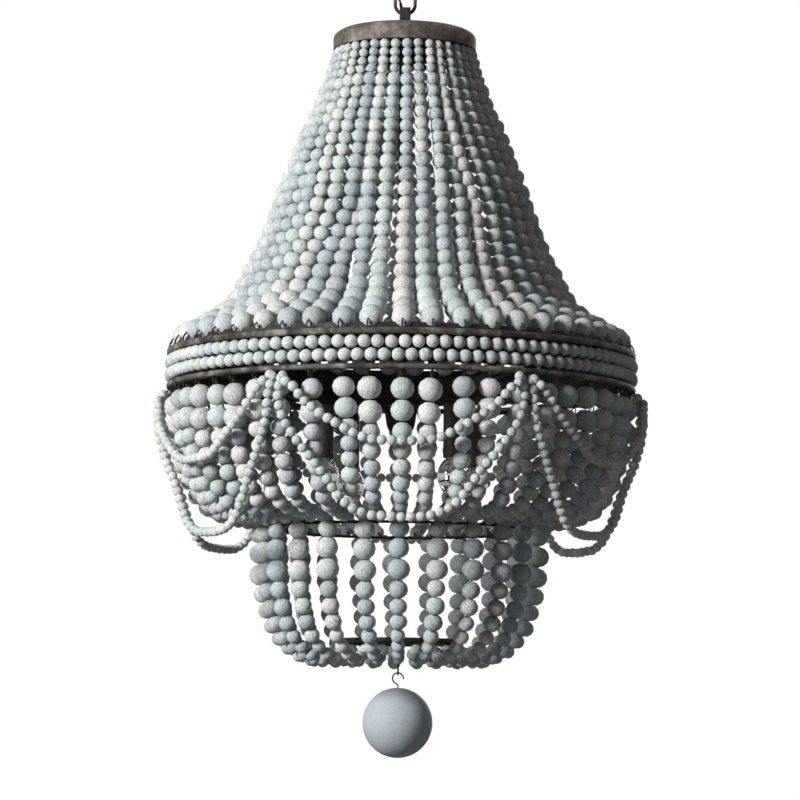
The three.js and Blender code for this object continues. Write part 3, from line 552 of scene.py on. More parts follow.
# Paint tones of the beads on one string: each string keeps near one tone, drifts, and has odd beads
def stringTones(count, starts, drift, jump, odd):
    tone = chance.choice(starts) + chance.normal(0, toneSettings["startSpread"])
    tones = np.zeros((count, 3))
    for i in range(count):
        tone += chance.normal(0, drift)
        if chance.random() < jump:
            tone = chance.choice(starts)
        isOdd = chance.random() < odd
        tones[i, 0] = chance.random() if isOdd else tone
    tones[:, 0] = np.abs((tones[:, 0] + 1) % 2 - 1)
    shades = chance.normal(toneSettings["shade"], toneSettings["shadeSpread"], count)
    tones[:, 1] = np.clip(shades + chance.normal(0, toneSettings["stringSpread"]), 0, 1)
    tones[:, 2] = chance.random(count)
    return tones


def readPointValues(mesh, field, values, attribute=None):
    source = mesh.attributes[attribute].data if attribute else mesh.vertices
    source.foreach_get(field, values)
    return values


# A copy of a string turned round the axis, its beads each a little different
def freshString(template, centres, angle, name, tones, sway=None):
    made = copyPiece(template, name)
    mesh = made.data
    count = len(mesh.vertices)
    co = readPointValues(mesh, "co", np.zeros(count * 3, np.float32)).reshape(-1, 3).astype(float)
    index = readPointValues(mesh, "value", np.zeros(count, np.int32), "beadIndex")
    isBead = (index >= 0)[:, None]
    number = np.where(index >= 0, index, 0)
    beadCount = len(centres)
    sizes = 1 + chance.normal(0, beadSettings["sizeSpread"], beadCount)
    shifts = chance.normal(0, beadSettings["shiftSpread"] * mm, (beadCount, 3))
    tilts = np.array([
        np.array(Euler(np.radians(chance.normal(0, beadSettings["tiltSpread"], 3))).to_matrix())
        for _ in range(beadCount)
    ])
    local = np.einsum("nij,nj->ni", tilts[number], co - centres[number]) * sizes[number][:, None]
    moved = np.where(isBead, local + centres[number] + shifts[number], co)
    if sway:
        moved += sway(np.where(isBead, centres[number], co))
    turn = np.array(Matrix.Rotation(angle, 3, "Z"))
    mesh.vertices.foreach_set("co", (moved @ turn.T).astype(np.float32).ravel())
    offsets = chance.random((beadCount, 3)) * beadSettings["patternShift"]
    place = readPointValues(mesh, "vector", np.zeros(count * 3, np.float32), "beadPlace").reshape(-1, 3)
    setPointValues(made, "beadPlace", "FLOAT_VECTOR", place + offsets[number] * isBead)
    setPointValues(made, "beadTone", "FLOAT_VECTOR", tones[number])
    mesh.update()
    return made


# A wire loop between two (radius, drop) points, turned so that it shows from the front and the side
def hookLoop(low, high, half):
    a, b = np.array([0, -low[0], -low[1]]), np.array([0, -high[0], -high[1]])
    along = (b - a) / np.linalg.norm(b - a)
    middle, reach = (a + b) / 2, np.linalg.norm(b - a) / 2
    turn = math.radians(stringSettings["hookTurn"])
    side = np.array([math.cos(turn), 0, 0]) + math.sin(turn) * np.cross([1.0, 0, 0], along)
    return [
        middle + along * reach * math.cos(t) + side * half * math.sin(t)
        for t in np.linspace(0, 2 * math.pi, stringSettings["hookPoints"], endpoint=False)
    ]


# Several makings of one string, turned round the axis and joined, one piece for each sector
def stringRing(label, nodeNames, settings, swayOf=None):
    line, length = smoothPath([(0, -radius, -drop) for radius, drop in settings["profile"]])
    hooks = [hookLoop(*hook) for hook in settings["hooks"]]
    templates = []
    for _ in range(stringSettings["variants"]):
        start = settings["start"] + chance.normal(0, settings["slack"])
        beads = beadsAlong(line, length, settings["sizes"], settings["widths"], start, settings["gap"],
                           stringSettings["spread"])
        templates.append(stringTemplate(f"{label}Template", beads, line, hooks))
    print(label, "beads on a string", [len(centres) for _, centres in templates])
    count = settings["count"]
    perSector = count // len(nodeNames)
    for sector, nodeName in enumerate(nodeNames):
        strings = []
        for number in range(sector * perSector, (sector + 1) * perSector):
            turn = 2 * math.pi * number / count
            aside = stringSettings["aside"] + settings["backDrift"] * (1 - math.cos(turn)) / 2
            angle = turn + math.radians(chance.normal(aside, settings["jitter"]))
            template, centres = templates[(number * 3 + number // 8) % len(templates)]
            sway = swayOf(number) if swayOf else None
            tones = stringTones(len(centres), **settings["tones"])
            strings.append(freshString(template, centres, angle, "string", tones, sway))
        handOver(joinPieces(f"{label}_{sector + 1}", strings), "chandelier", nodeName)
    print(label, "strung")


# Upper strings, from the cap's rim down to the band. Turns are in degrees.
upperSettings = {
    "count": 48, "jitter": 0.35, "backDrift": 3.0,
    "profile": [(85.4, 224), (86.2, 231), (89.1, 241), (106.3, 298.6), (126.2, 343.2), (136.3, 371.4),
                (147, 401.2), (155.6, 427.3), (166.2, 458.8), (177.8, 488.8), (191.3, 515.5),
                (206.1, 547.1), (222.8, 566.6), (240.6, 578.9), (257.1, 588.2), (270, 594.5), (284, 605)],
    "sizes": [11.3] * 4 + [16.4] * 7 + [18.8] * 6 + [18.6, 18.8, 19.6, 22.4, 25.6, 27.4, 27.6, 27.6],
    "widths": [12.0] * 4 + [16.4] * 3 + [17.0] * 4 + [19.2, 19.4, 19.6, 20.2, 20.8, 21.4, 22.2, 23.0, 24.2,
                                                     25.6, 26.8, 27.6, 27.8, 27.8],
    "start": 3.2, "gap": 0.1, "slack": 0.3,
    "hooks": [((85.2, 221.5), (86, 230.5), 1.6), ((284.5, 599.5), (290.5, 611.2), 3.2)],
    "crowdDrops": (227, 334, 441, 520), "crowdTurn": 0.3, "crowdInward": 1.2, "behindInward": 11.0,
    "behind": {3: 441, 9: 520, 14: 334, 19: 520, 24: 441, 30: 520, 35: 334, 40: 441, 45: 520},
    "topTurn": 1.8, "topBack": -2.4,
    "tones": {"starts": [0.12, 0.25, 0.38, 0.44, 0.5, 0.5, 0.56, 0.62, 0.85], "drift": 0.03, "jump": 0.1,
              "odd": 0.05},
}


# The turn and the inward shift of each string at each drop: near the cap there is no room for all side
# by side, so some strings stay behind until the cone is wide enough, and the others close up
def crowdPlaces(settings):
    count, places = settings["count"], []
    for drop in settings["crowdDrops"]:
        front = [n for n in range(count) if settings["behind"].get(n, 0) <= drop]
        turns = np.interp(range(count), front + [count], np.linspace(0, 2 * math.pi, len(front) + 1))
        behind = [0.0 if n in front else settings["behindInward"] * mm for n in range(count)]
        places.append((turns - 2 * math.pi * np.arange(count) / count, behind))
    return places


crowdTable = crowdPlaces(upperSettings)


def upperSway(number):
    drops = upperSettings["crowdDrops"]
    fade = np.linspace(1, 0, len(drops))
    toFront = math.cos(2 * math.pi * number / upperSettings["count"])
    aside = upperSettings["topTurn"] * toFront + upperSettings["topBack"] * (1 - toFront) / 2
    lean = math.radians(chance.normal(aside, upperSettings["crowdTurn"])) * fade
    lean += [turns[number] for turns, _ in crowdTable]
    inward = abs(chance.normal(0, upperSettings["crowdInward"])) * mm * fade
    inward += [behind[number] for _, behind in crowdTable]

    def sway(points):
        at = -points[:, 2] / mm
        return np.stack([-points[:, 1] * np.tan(np.interp(at, drops, lean)), np.interp(at, drops, inward),
                         np.zeros(len(points))], axis=1)

    return sway


stringRing("upperBeads", [f"upper_strands_{i}" for i in range(1, 7)], upperSettings, upperSway)

# Middle strings, from the band in to the waist ring, swayed a little to the side at half their drop
middleSettings = {
    "count": 48, "jitter": 0.3, "backDrift": 0.4,
    "profile": [(285, 664), (282.5, 669), (281, 679), (280.5, 705), (276.5, 735), (268, 766), (256.5, 789),
                (247, 801.5), (232, 813), (210, 819.5), (186, 823), (169, 826.5)],
    "sizes": [26.2, 25.8, 20.8, 20.4, 20.4, 20.2, 18.6, 17.2, 16.0] + [15.4] * 8,
    "widths": [27.8, 27.8, 22.4, 21.6, 21.4, 21.4, 19.8, 18.4, 17.0] + [16.0] * 8,
    "start": 4.8, "gap": 0.1, "slack": 1.3,
    "hooks": [((287, 660.5), (283, 670.5), 3.0), ((172, 826), (162.5, 829.6), 2.0)],
    "swayReach": 1.2, "swayDrops": (664, 827), "frontSway": {46: 8.0, 47: 3.5, 0: 1.5, 1: -3.5, 2: 2.0},
    "tones": {"starts": [0.05, 0.25, 0.38, 0.5, 0.62, 0.75, 0.75, 0.88, 1.0], "drift": 0.05, "jump": 0.22,
              "odd": 0.1},
}


def middleSway(number):
    reach = middleSettings["frontSway"].get(number, chance.normal(0, middleSettings["swayReach"])) * mm
    top, end = (drop * mm for drop in middleSettings["swayDrops"])

    def sway(points):
        share = np.sin(math.pi * np.clip((-points[:, 2] - top) / (end - top), 0, 1))
        return np.outer(share, [reach, 0, 0])

    return sway


stringRing("middleBeads", [f"middle_strands_{i}" for i in range(1, 7)], middleSettings, middleSway)

# Basket strings, from the waist ring in to the bottom ring
basketSettings = {
    "count": 24, "jitter": 0.45, "backDrift": 1.6,
    "profile": [(168.5, 832.5), (172.6, 836.5), (173.8, 845), (173.2, 870), (171, 900), (166, 927),
                (158, 951), (148, 969), (135, 982), (118, 991.5), (100, 995), (86, 989), (76, 979)],
    "sizes": [20.8, 26.2, 25.8, 21.4, 21.0, 19.6, 18.0, 16.4, 15.8] + [15.2] * 6,
    "widths": [24.4, 26.8, 27.2, 22.4, 22.0, 21.4, 18.6, 16.8, 16.2] + [15.8] * 6,
    "start": 0.2, "gap": 0.1, "slack": 0.4,
    "hooks": [((163.3, 830.5), (170.5, 836), 2.2), ((78, 981), (73.2, 976.2), 1.6)],
    "tones": {"starts": [0.05, 0.25, 0.38, 0.5, 0.75, 0.88, 1.0, 1.0], "drift": 0.05, "jump": 0.2,
              "odd": 0.1},
}
stringRing("basketBeads", [f"basket_strands_{i}" for i in range(1, 4)], basketSettings)

# Rows of beads round the band, each with its drop and its turn as a share of a bead
bandSettings = {
    "rows": {"upper": (627, 0), "lower": (643, 0.5)}, "radius": 287.9, "size": 15.8, "count": 113,
    "tones": {"starts": [0.2, 0.34, 0.44, 0.5, 0.56, 0.62, 0.75], "drift": 0.03, "jump": 0.16, "odd": 0.06},
}


def makeRows(rows, radius, size, count, tones):
    for label, (drop, shift) in rows.items():
        pieces, places = [], []
        for i in range(count):
            angle = 2 * math.pi * (i + shift) / count
            across, back = math.cos(angle), math.sin(angle)
            places.append((radius * across, radius * back, -drop))
            pieces.append(placedBead(places[-1], (-back, across, 0), size, size, i))
        joined = joinPieces("row", pieces)
        hiddenShapes.append(joined)
        row = freshString(joined, np.array(places) * mm, 0, f"bandBeads_{label}", stringTones(count, **tones))
        handOver(row, "chandelier", f"band_beads_{label}")
    print("band rows made")


makeRows(**bandSettings)

# Swags: two strings of small beads in each of six places round the band. Across is the share of the
# half angle, fall is the share of the sag, and strandFace is the outside of the middle strings.
swagSettings = {
    "places": 6, "size": 11.8, "gap": -0.1, "start": 3.0, "chordRadius": 301.1, "halfAngle": 28.7,
    "standOff": 8.5, "gather": (291.55, 661.3), "top": 671, "samples": 700,
    "upper": {"sags": [74, 86, 86, 74, 86, 86], "across": [0, 0.15, 0.27, 0.38, 0.5, 0.64, 0.77, 0.875, 0.95],
              "fall": [1, 0.995, 0.965, 0.88, 0.745, 0.57, 0.37, 0.13, 0.02]},
    "lower": {"sags": [162, 174, 180, 158, 180, 174],
              "across": [0, 0.15, 0.27, 0.436, 0.561, 0.697, 0.798, 0.895, 0.97, 1],
              "fall": [1, 0.995, 0.986, 0.928, 0.82, 0.641, 0.525, 0.393, 0.27, 0.1]},
    "strandFace": [(661, 290), (672, 294), (707, 294.3), (735, 288), (766, 278.6), (789, 267),
                   (803, 257), (822, 240), (845, 200)],
    "tones": {"starts": [0.38, 0.44, 0.5, 0.56], "drift": 0.02, "jump": 0.08, "odd": 0.03},
}


def swagLine(row, number, chordRadius, halfAngle, standOff, gather, top, strandFace):
    half = math.radians(halfAngle)
    faceDrops, faceRadii = zip(*strandFace)
    places = list(zip(row["across"], row["fall"]))
    points = [(gather[0], -half, gather[1])]
    for across, fall in [(-across, fall) for across, fall in reversed(places[1:])] + places:
        drop = top + row["sags"][number] * fall
        chord = chordRadius * math.cos(half) / math.cos(across * half)
        face = np.interp(drop, faceDrops, faceRadii) + standOff
        points.append((max(chord, face), across * half, drop))
    points.append((gather[0], half, gather[1]))
    return [(radius * math.sin(turn), -radius * math.cos(turn), -drop) for radius, turn, drop in points]


def hangSwags(places, size, gap, start, samples, upper, lower, tones, **lie):
    for number in range(places):
        strings = []
        for row in (upper, lower):
            line, length = smoothPath(swagLine(row, number, **lie), samples)
            sizes = [size] * int(length[-1] // (size + gap) + 1)
            beads = beadsAlong(line, length, sizes, sizes, start, gap)
            template, centres = stringTemplate("swagString", beads, line, [])
            turn = 2 * math.pi * number / places
            strings.append(freshString(template, centres, turn, "swag", stringTones(len(centres), **tones)))
        handOver(joinPieces(f"swagBeads_{number + 1}", strings), "chandelier", f"swag_pair_{number + 1}")
    print("swags hung")


hangSwags(**swagSettings)

# Cap with a rounded shoulder, a hole for the stem and one for the lead, and the arch over it
capSettings = {"radius": 90, "top": 201, "reach": 24, "height": 12, "rim": 227, "lip": 0.6, "insideLip": 0.4,
               "wall": 1.6, "hole": 6.8, "leadHole": 5, "leadEntry": 26, "steps": 112}


def shoulderPoints(radius, top, reach, height):
    return [
        (radius - reach * (1 - math.cos(a)), top + height * (1 - math.sin(a)))
        for a in np.radians(np.linspace(90, 0, 10))
    ]


def makeCap(radius, top, reach, height, rim, lip, insideLip, wall, hole, leadHole, leadEntry, steps):
    section = [(hole, top)] + shoulderPoints(radius, top, reach, height)
    section += [(radius, rim - lip), (radius - lip, rim), (radius - wall, rim - insideLip)]
    section += shoulderPoints(radius - wall, top + wall, reach - wall, height - wall)[::-1] + [(hole, top + wall)]
    cap = turnedPiece("capShell", section, steps)
    clearSelection()
    bpy.ops.mesh.primitive_cylinder_add(vertices=24, radius=leadHole * mm, depth=20 * mm,
                                        location=(0, leadEntry * mm, -top * mm))
    cutAway(cap, bpy.context.object)
    handOver(cap, "chandelier", "top_cap", capIron, smooth=40)


makeCap(**capSettings)
refineSolid("cap_loop", "capArch", "chandelier", edge=0.6, material=chainIron)


# Iron of the band, the rings and the frame inside the beads
def turnedIron(name, nodeName, section, steps, smooth, material=frameIron):
    handOver(turnedPiece(name, section, steps), "chandelier", nodeName, material, smooth)


def easedSection(inner, outer, top, bottom, ease):
    return [(inner, top + ease), (inner + ease, top), (outer - ease, top), (outer, top + ease),
            (outer, bottom - ease), (outer - ease, bottom), (inner + ease, bottom), (inner, bottom - ease)]


def roundSection(radius, drop, wire, count):
    return [
        (radius + wire / 2 * math.cos(a), drop + wire / 2 * math.sin(a))
        for a in np.linspace(0, 2 * math.pi, count, endpoint=False)
    ]


# A thin strip behind the rows of beads, with uprights that leave open slots over the bottom ring
def makeHoop(inner, outer, strip, bottom, steps, uprights, uprightSize, uprightEdge):
    top, low = strip
    section = [(inner, top), (outer, top), (outer, low), (inner, low)]
    parts = [turnedPiece("hoopStrip", section, steps)]
    middle = (inner + outer) / 2
    for i in range(uprights):
        turn = 2 * math.pi * (i + 0.5) / uprights
        place = (middle * math.cos(turn), middle * math.sin(turn), -(low + bottom) / 2)
        upright = boxPiece((*uprightSize, bottom - low), place, turn)
        easeEdges(upright, uprightEdge)
        parts.append(upright)
    handOver(joinPieces("bandHoop", parts), "chandelier", "band_hoop", frameIron, smooth=40)


hoopSettings = {"inner": 278.7, "outer": 280.2, "strip": (603.5, 650), "bottom": 659.8, "steps": 160,
                "uprights": 24, "uprightSize": (1.1, 11), "uprightEdge": 0.3}
for label, top, bottom in (("top", 610.9, 618.5), ("bottom", 653.8, 659.8)):
    section = easedSection(inner=280.5, outer=293.0, top=top, bottom=bottom, ease=1.2)
    turnedIron(f"bandRing_{label}", f"band_{label}_ring", section, steps=160, smooth=50, material=bandIron)
makeHoop(**hoopSettings)
waistSection = roundSection(radius=163, drop=832, wire=3.5, count=10)
bottomSection = easedSection(inner=72, outer=74.6, top=968, bottom=975, ease=0.5)
turnedIron("waistRing", "waist_ring", waistSection, steps=120, smooth=60)
turnedIron("bottomRing", "bottom_ring", bottomSection, steps=96, smooth=50)
print("cap and rings made")

# Frame inside the beads: the stem with a slot for the lead, the six arms and the cup
stemSettings = {"section": [(4, 201.3), (6.1, 201.3), (6.5, 201.8), (6.5, 694.9), (6.1, 695.3), (4, 695.3)],
                "slotSize": (5.2, 7.5, 26), "slotPlace": (0, 3.75, -235)}
cupSection = [(6.8, 682.6), (19.2, 682.6), (20, 683.4), (20, 685.5), (17.6, 701), (15.6, 706.6), (12.8, 708.3),
              (0, 708.6), (0, 706.2), (12.2, 705.8), (15.2, 699.6), (17.2, 686), (16.6, 685), (6.8, 685)]
stem = turnedPiece("stemTube", stemSettings["section"], steps=24)
cutAway(stem, boxPiece(stemSettings["slotSize"], stemSettings["slotPlace"]))
handOver(stem, "chandelier", "stem", frameIron, smooth=40)
refineSolid("band_spider", "bandSpider", "chandelier", edge=0.7, material=frameIron)
turnedIron("hubCup", "hub_cup", cupSection, steps=48, smooth=50)

# Lights, each a dark sleeve with a clear flame-shaped bulb pointing down
lightSettings = {
    "circle": 112, "turn": -56, "count": 4,
    "sleeve": [(9.4, 682.6), (10.2, 682.6), (10.4, 683), (10.4, 748), (10.2, 748.6), (9.6, 748.6), (9.4, 748.2)],
    "socket": [(0, 725.6), (6.6, 725.6), (6.6, 747.2), (7, 747.6), (8.7, 747.6), (9.1, 747.2), (9.1, 703.2),
               (8.4, 702.6), (4.55, 702.6), (4.55, 682.6), (0, 682.6)],
    "glassOutside": [(6.0, 748.9), (7.6, 750), (9.8, 752), (13.4, 757), (16.1, 762.5), (17.4, 768.5),
                     (17.5, 772), (16.6, 777.5), (14.2, 783.5), (11.2, 788.5), (8, 793), (4.9, 797),
                     (2.3, 799.8), (0, 800.7)],
    "glassInside": [(0, 799.9), (2.0, 799), (4.3, 796.4), (7.4, 792.4), (10.6, 788), (13.6, 783.1),
                    (15.9, 777.3), (16.8, 772), (16.7, 768.6), (15.5, 762.9), (12.8, 757.5), (9.4, 752.9),
                    (7.2, 750.9), (5.4, 749.8), (0, 749.4)],
    "base": {"tip": [(0, 726.9), (2.2, 726.9), (2.6, 727.6), (4.6, 729)], "rim": [(5.9, 748.4), (0, 748.6)],
             "count": 7, "pitch": 2.5, "root": (5.5, 730.2), "crest": (6.0, 731.4)},
    "glassMount": [(0, 749.6), (2.4, 749.6), (1.5, 752), (1.2, 757), (0, 757.6)],
}
filamentSettings = {"support": [(1.6, 749.8), (1.8, 760), (3.4, 769)], "supportWire": 0.22, "half": 3.4, "drop": 769,
                    "fall": 9, "wave": 0.5, "waves": 9, "wire": 0.16}


def lampShape(name, section, steps, material, onAxis=False):
    shape = turnedPiece(name, section, steps, onAxis)
    setMaterial(shape, material)
    return shape


def baseSection(tip, rim, count, pitch, root, crest):
    turns = [(radius, drop + i * pitch) for i in range(count) for radius, drop in (root, crest)]
    return tip + turns + rim


def makeFilament(support, supportWire, half, drop, fall, wave, waves, wire):
    parts = [
        wirePiece("support", [(side * across, 0, -low) for across, low in support], supportWire, 6)
        for side in (-1, 1)
    ]
    coil = [
        (half * math.cos(t), wave * math.sin(waves * t), -drop - fall * math.sin(t))
        for t in np.linspace(0, math.pi, 40)
    ]
    parts.append(wirePiece("coil", coil, wire, 6))
    for part in parts:
        setMaterial(part, filamentWire)
    return joinPieces("filamentShape", parts)


def hangLights(settings):
    glassSection = settings["glassOutside"] + settings["glassInside"]
    shapes = (
        (lampShape("sleeveShape", settings["sleeve"], 32, sleevePlastic), "candleSleeve", "candle_sleeve", 50),
        (lampShape("socketShape", settings["socket"], 32, socketPlastic, True), "lampSocket", "socket", 50),
        (lampShape("glassShape", glassSection, 40, bulbGlass), "bulbGlass", "bulb", 60),
        (lampShape("baseShape", baseSection(**settings["base"]), 32, baseBrass, True), "bulbBase", "bulb", 40),
        (makeFilament(**filamentSettings), "bulbFilament", "bulb", 60),
        (lampShape("glassMount", settings["glassMount"], 16, bulbGlass, True), "bulbMount", "bulb", 60),
    )
    hiddenShapes.extend(entry[0] for entry in shapes)
    for i in range(settings["count"]):
        angle = math.radians(settings["turn"] + 360 / settings["count"] * i)
        reach = settings["circle"] * mm
        place = Matrix.Translation((reach * math.cos(angle), reach * math.sin(angle), 0))
        for shape, label, nodeName, smooth in shapes:
            piece = copyPiece(shape, f"{label}_{i + 1}")
            piece.data.transform(place @ Matrix.Rotation(angle, 4, "Z"))
            body = f"lamp_{i + 1}" if nodeName == "bulb" else "chandelier"
            handOver(piece, body, f"{nodeName}_{i + 1}", smooth=smooth)
    print("lights made")


hangLights(lightSettings)

# Finial: crossbar, wire hanger with an eye at each end, open hook and ball
barSettings = {"radius": 2, "half": 71, "drop": 971.5, "edge": 0.4}
hangerSettings = {"wire": 1.1, "eye": 3.4, "eyeDrop": 971.5, "shank": (985, 1000), "lowEye": 5, "lowDrop": 1007}
hookSettings = {"wire": 0.9, "radius": 6.8, "drop": 1016.5, "turns": (-8, 248), "shank": (1024.5, 1034, 1043.5)}
ballSettings = {"radius": 43.4, "drop": 1071.6, "segments": 72, "rings": 36, "boreTop": 0.46, "patternShift": 0.7}


# Places on a circle in the plane that faces the side, from its lowest point round
def sideCircle(radius, drop, degrees):
    return [(0, radius * math.sin(a), -drop - radius * math.cos(a)) for a in np.radians(degrees)]


def makeCrossbar(radius, half, drop, edge):
    clearSelection()
    bpy.ops.mesh.primitive_cylinder_add(vertices=20, radius=radius * mm, depth=2 * half * mm,
                                        location=(0, 0, -drop * mm), rotation=(0, math.pi / 2, 0))
    bar = namePiece(bpy.context.object, "finialCrossbar")
    applyPlace(bar)
    easeEdges(bar, edge)
    handOver(bar, "chandelier", "finial_crossbar", frameIron, smooth=40)


def makeHanger(wire, eye, eyeDrop, shank, lowEye, lowDrop):
    points = sideCircle(eye, eyeDrop, np.linspace(352, 0, 20)) + [(0, 0, -drop) for drop in shank]
    points += [(x, -y, -2 * lowDrop - z) for x, y, z in sideCircle(lowEye, lowDrop, np.linspace(0, 350, 26))]
    handOver(wirePiece("finialHanger", points, wire, 10), "hanger", "finial_hanger", hookIron, smooth=60)


def makeHook(wire, radius, drop, turns, shank):
    points = [
        (radius * math.cos(a), 0, -drop + radius * math.sin(a)) for a in np.radians(np.linspace(*turns, 26))
    ]
    points += [(0, 0, -low) for low in shank]
    handOver(wirePiece("finialHook", points, wire, 10), "finial", "finial_hook", hookIron, smooth=60)


def makeBall(radius, drop, segments, rings, boreTop, patternShift):
    clearSelection()
    bpy.ops.mesh.primitive_uv_sphere_add(segments=segments, ring_count=rings, radius=0.5)
    ball = namePiece(bpy.context.object, "finialBall")
    editVertices(ball, lambda co: co.z > 0.4999)
    bpy.ops.transform.translate(value=(0, 0, boreTop - 0.5))  # the countersunk bore
    bpy.ops.object.mode_set(mode="OBJECT")
    size = 2 * radius * mm
    co = np.array([v.co for v in ball.data.vertices])
    setPointValues(ball, "beadPlace", "FLOAT_VECTOR", co * size + patternShift)
    ball.data.transform(Matrix.Translation((0, 0, -drop * mm)) @ Matrix.Scale(size, 4))
    handOver(ball, "finial", "finial_ball", ballPaint, smooth=60)


makeCrossbar(**barSettings)
makeHanger(**hangerSettings)
makeHook(**hookSettings)
makeBall(**ballSettings)
print("finial made")

# Ceiling fitting: dished canopy, loop with its neck, knurled collar and chain links
canopySettings = {"hole": 8.3, "reach": 54.7, "height": 28, "wall": 1.4, "steps": 112}
loopSettings = {"neck": [(3.2, 24.3), (7.6, 24.3), (8, 24.7), (8, 40), (7.4, 41.8), (5.6, 42.9), (3.2, 42.9)],
                "drop": 54}
collarSettings = {"section": [(8.3, 28.3), (11.2, 28.3), (12, 29.2), (12, 33.4), (11.2, 34.3), (8.3, 34.3)],
                  "steps": 80, "knurlFrom": 11.6, "knurl": 0.03}
ringSize = {"major_radius": 12.7 * mm, "minor_radius": 2.2 * mm}
linkSettings = {"stretch": 8.5, "weld": 1.12, "drop": 83.2, "pitch": 37.7, "count": 3}


def makeCanopy(hole, reach, height, wall, steps):
    across = [(math.cos(a), math.sin(a)) for a in np.linspace(0, math.pi / 2, 12)]
    section = [(hole + reach * x, height * y) for x, y in across]
    section += [(hole + (reach - wall) * x, (height - wall) * y) for x, y in reversed(across)]
    canopy = turnedPiece("ceilingCanopy", section, steps)
    handOver(canopy, "ceiling", "ceiling_canopy", canopyIron, smooth=40)


# A ring of the chain's wire
def wireRing(segments, **lie):
    clearSelection()
    bpy.ops.mesh.primitive_torus_add(major_segments=segments, minor_segments=14, **ringSize, **lie)
    return bpy.context.object


def makeLoop(neck, drop):
    neckPiece = turnedPiece("loopNeck", neck, steps=40)
    ring = wireRing(segments=48, location=(0, 0, -drop * mm), rotation=(0, math.pi / 2, 0))
    applyPlace(ring)
    handOver(joinPieces("canopyLoop", [neckPiece, ring]), "ceiling", "canopy_loop", chainIron, smooth=45)


def makeCollar(section, steps, knurlFrom, knurl):
    collar = turnedPiece("screwCollar", section, steps)
    for vertex in collar.data.vertices:
        if math.hypot(vertex.co.x, vertex.co.y) > knurlFrom * mm:
            step = round(math.atan2(vertex.co.y, vertex.co.x) / (2 * math.pi) * steps)
            vertex.co.x *= 1 - knurl * (step % 2)
            vertex.co.y *= 1 - knurl * (step % 2)
    handOver(collar, "collar", "screw_collar", canopyIron, smooth=30)


# Oval links from rings with their halves drawn apart and the weld on one side, every second one turned
def makeLinks(stretch, weld, drop, pitch, count):
    weldPlace = (-ringSize["major_radius"], 0, 0)
    for i in range(count):
        link = namePiece(wireRing(segments=36), f"chainLink_{i + 1}")
        for side in (1, -1):
            editVertices(link, lambda co: co.y * side > 1e-5)
            bpy.ops.transform.translate(value=(0, side * stretch * mm, 0))
        editVertices(link, lambda co: abs(co.y) < 1e-5 and co.x < 0)
        bpy.ops.transform.resize(value=(weld, 1, weld), center_override=weldPlace)
        bpy.ops.object.mode_set(mode="OBJECT")
        link.rotation_euler = (math.pi / 2, 0, math.pi / 2 if i % 2 else 0)
        link.location = (0, 0, -(drop + pitch * i) * mm)
        handOver(link, f"link_{i + 1}", f"chain_link_{i + 1}", chainIron, smooth=60)


makeCanopy(**canopySettings)
makeLoop(**loopSettings)
makeCollar(**collarSettings)
makeLinks(**linkSettings)
for nodeName, label, edge in (
    ("ceiling_strap", "ceilingStrap", 0.4), ("strap_screw_1", "strapScrew_1", 0.3),
    ("strap_screw_2", "strapScrew_2", 0.3), ("threaded_nipple", "threadedNipple", 0.3),
):
    refineSolid(nodeName, label, "ceiling", edge, strapSteel)
print("chain and canopy made")

# Lead: two twisted conductors, wound once down the chain and into the stem. Each piece of it bends from
# one body to the next between two drops.
leadSettings = {
    "radius": 1.0, "twist": 24.0, "sides": 10, "samples": 700,
    "above": [(0, 0, -3), (0, 0, -40.2)],
    "winding": {"radius": 7.4, "turns": (45, 0, -45, -90, -135, -180), "drop": 64.35, "pitch": 18.85},
    "below": [(-3.7, 13.7, -171.9), (0, 21.8, -188.4), (0, 26, -198.9), (0, 21.8, -217.8), (0, 6.5, -235),
              (0, 0, -252.2), (0, 0, -400), (0, 0, -560), (0, 0, -702)],
    "bodies": ["ceiling", "link_1", "link_2", "link_3", "chandelier"],
    "cuts": [0, 87.5, 122.5, 160.0, 720], "blends": [(50, 85), (90, 120), (125, 157), (163, 190)],
}


def layLead(radius, twist, sides, samples, above, winding, below, bodies, cuts, blends):
    wound = [
        (winding["radius"] * math.cos(a), winding["radius"] * math.sin(a), -winding["drop"] - winding["pitch"] * i)
        for i, a in enumerate(np.radians(winding["turns"]))
    ]
    line, length = smoothPath(above + wound + below, samples)
    along = np.gradient(line, axis=0)
    along /= np.linalg.norm(along, axis=1)[:, None]
    side = np.cross(along, np.tile([1.0, 0.0, 0.0], (len(line), 1)))
    side /= np.linalg.norm(side, axis=1)[:, None]
    other = np.cross(along, side)
    conductors = []
    for start in (0, math.pi):
        turns = (2 * math.pi * length / twist + start)[:, None]
        conductors.append(line + radius * (np.cos(turns) * side + np.sin(turns) * other))
    for i, (start, end) in enumerate(blends):
        inside = np.flatnonzero((-line[:, 2] >= cuts[i]) & (-line[:, 2] <= cuts[i + 1]))
        low, high = inside[0], inside[-1] + 2
        piece = joinPieces(f"supplyLead_{i + 1}",
                           [wirePiece("conductor", c[low:high], radius, sides) for c in conductors])
        handOver(piece, None, "supply_lead", leadPlastic, smooth=60)
        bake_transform(piece, bodies[i], bodies[i + 1], start=(0, 0, -start * mm), end=(0, 0, -end * mm))
    print("lead laid")


layLead(**leadSettings)
for shape in hiddenShapes:
    bpy.data.objects.remove(shape)

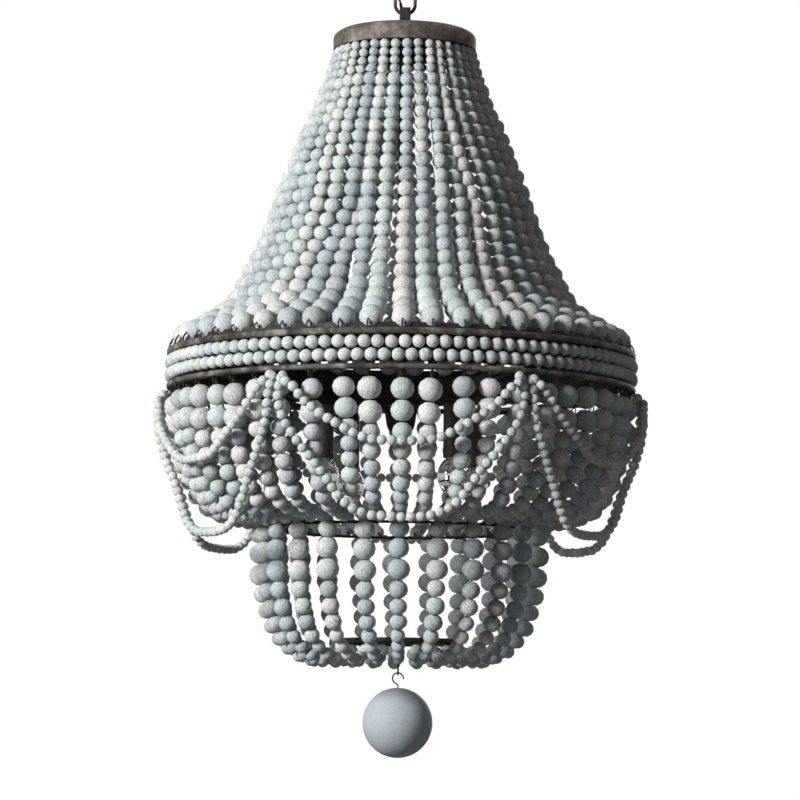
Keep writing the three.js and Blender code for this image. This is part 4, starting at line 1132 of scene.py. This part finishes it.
# Room, in metres and watts: pale floor, white behind, soft light from the front left and from behind
roomSettings = {
    "floorSize": 16, "floorDrop": 2.05, "floorShown": 0.86, "floorGlow": 0.55, "floorBounce": 0.15,
    "worldLight": 0.065, "target": (0, 0, -0.6),
    "lights": {"keyLight": ((-2.38, -2.20, 0.2), 0.9, 176), "backLight": ((1.0, 3.4, 0.2), 1.6, 70),
               "fillLight": ((2.2, -2.6, -0.3), 2.0, 5)},
}


# A floor that the camera sees pale and that throws little light on the object
def makeFloor(settings):
    clearSelection()
    bpy.ops.mesh.primitive_plane_add(size=settings["floorSize"], location=(0, 0, -settings["floorDrop"]))
    floor = bpy.context.object
    floor.name = "studioFloor"
    look = surfaceFinish("paleFloor", Roughness=0.9, Emission_Color=(1, 1, 1, 1))
    isSeen = look.add("LightPath").outputs["Is Camera Ray"]
    shown, bounced = ((settings[key],) * 3 + (1,) for key in ("floorShown", "floorBounce"))
    look.feed(look.shader.inputs["Emission Strength"], look.math("MULTIPLY", isSeen, settings["floorGlow"]))
    setMaterial(floor, look.finish(look.mix(isSeen, bounced, shown)))


# White where the camera, metal or glass sees it, and a weak light on the object
def makeWorld(settings):
    world = bpy.data.worlds.new("studio")
    bpy.context.scene.world = world
    world.use_nodes = True
    look = nodeTools(world.node_tree)
    path = look.add("LightPath").outputs
    seen = look.math("MAXIMUM", path["Is Camera Ray"], path["Is Glossy Ray"])
    seen = look.math("MAXIMUM", seen, path["Is Transmission Ray"])
    background = world.node_tree.nodes["Background"]
    background.inputs["Color"].default_value = (1, 1, 1, 1)
    look.feed(background.inputs["Strength"], look.grey(seen, 0, 1, settings["worldLight"], 1.0))


def makeLights(settings):
    for name, (place, size, power) in settings["lights"].items():
        bpy.ops.object.light_add(type="AREA", location=place)
        light = bpy.context.object
        light.name = name
        light.data.size = size
        light.data.energy = power
        aim = Vector(settings["target"]) - Vector(place)
        light.rotation_euler = aim.to_track_quat("-Z", "Y").to_euler()


makeFloor(roomSettings)
makeWorld(roomSettings)
makeLights(roomSettings)
bpy.context.scene.view_settings.view_transform = "Standard"
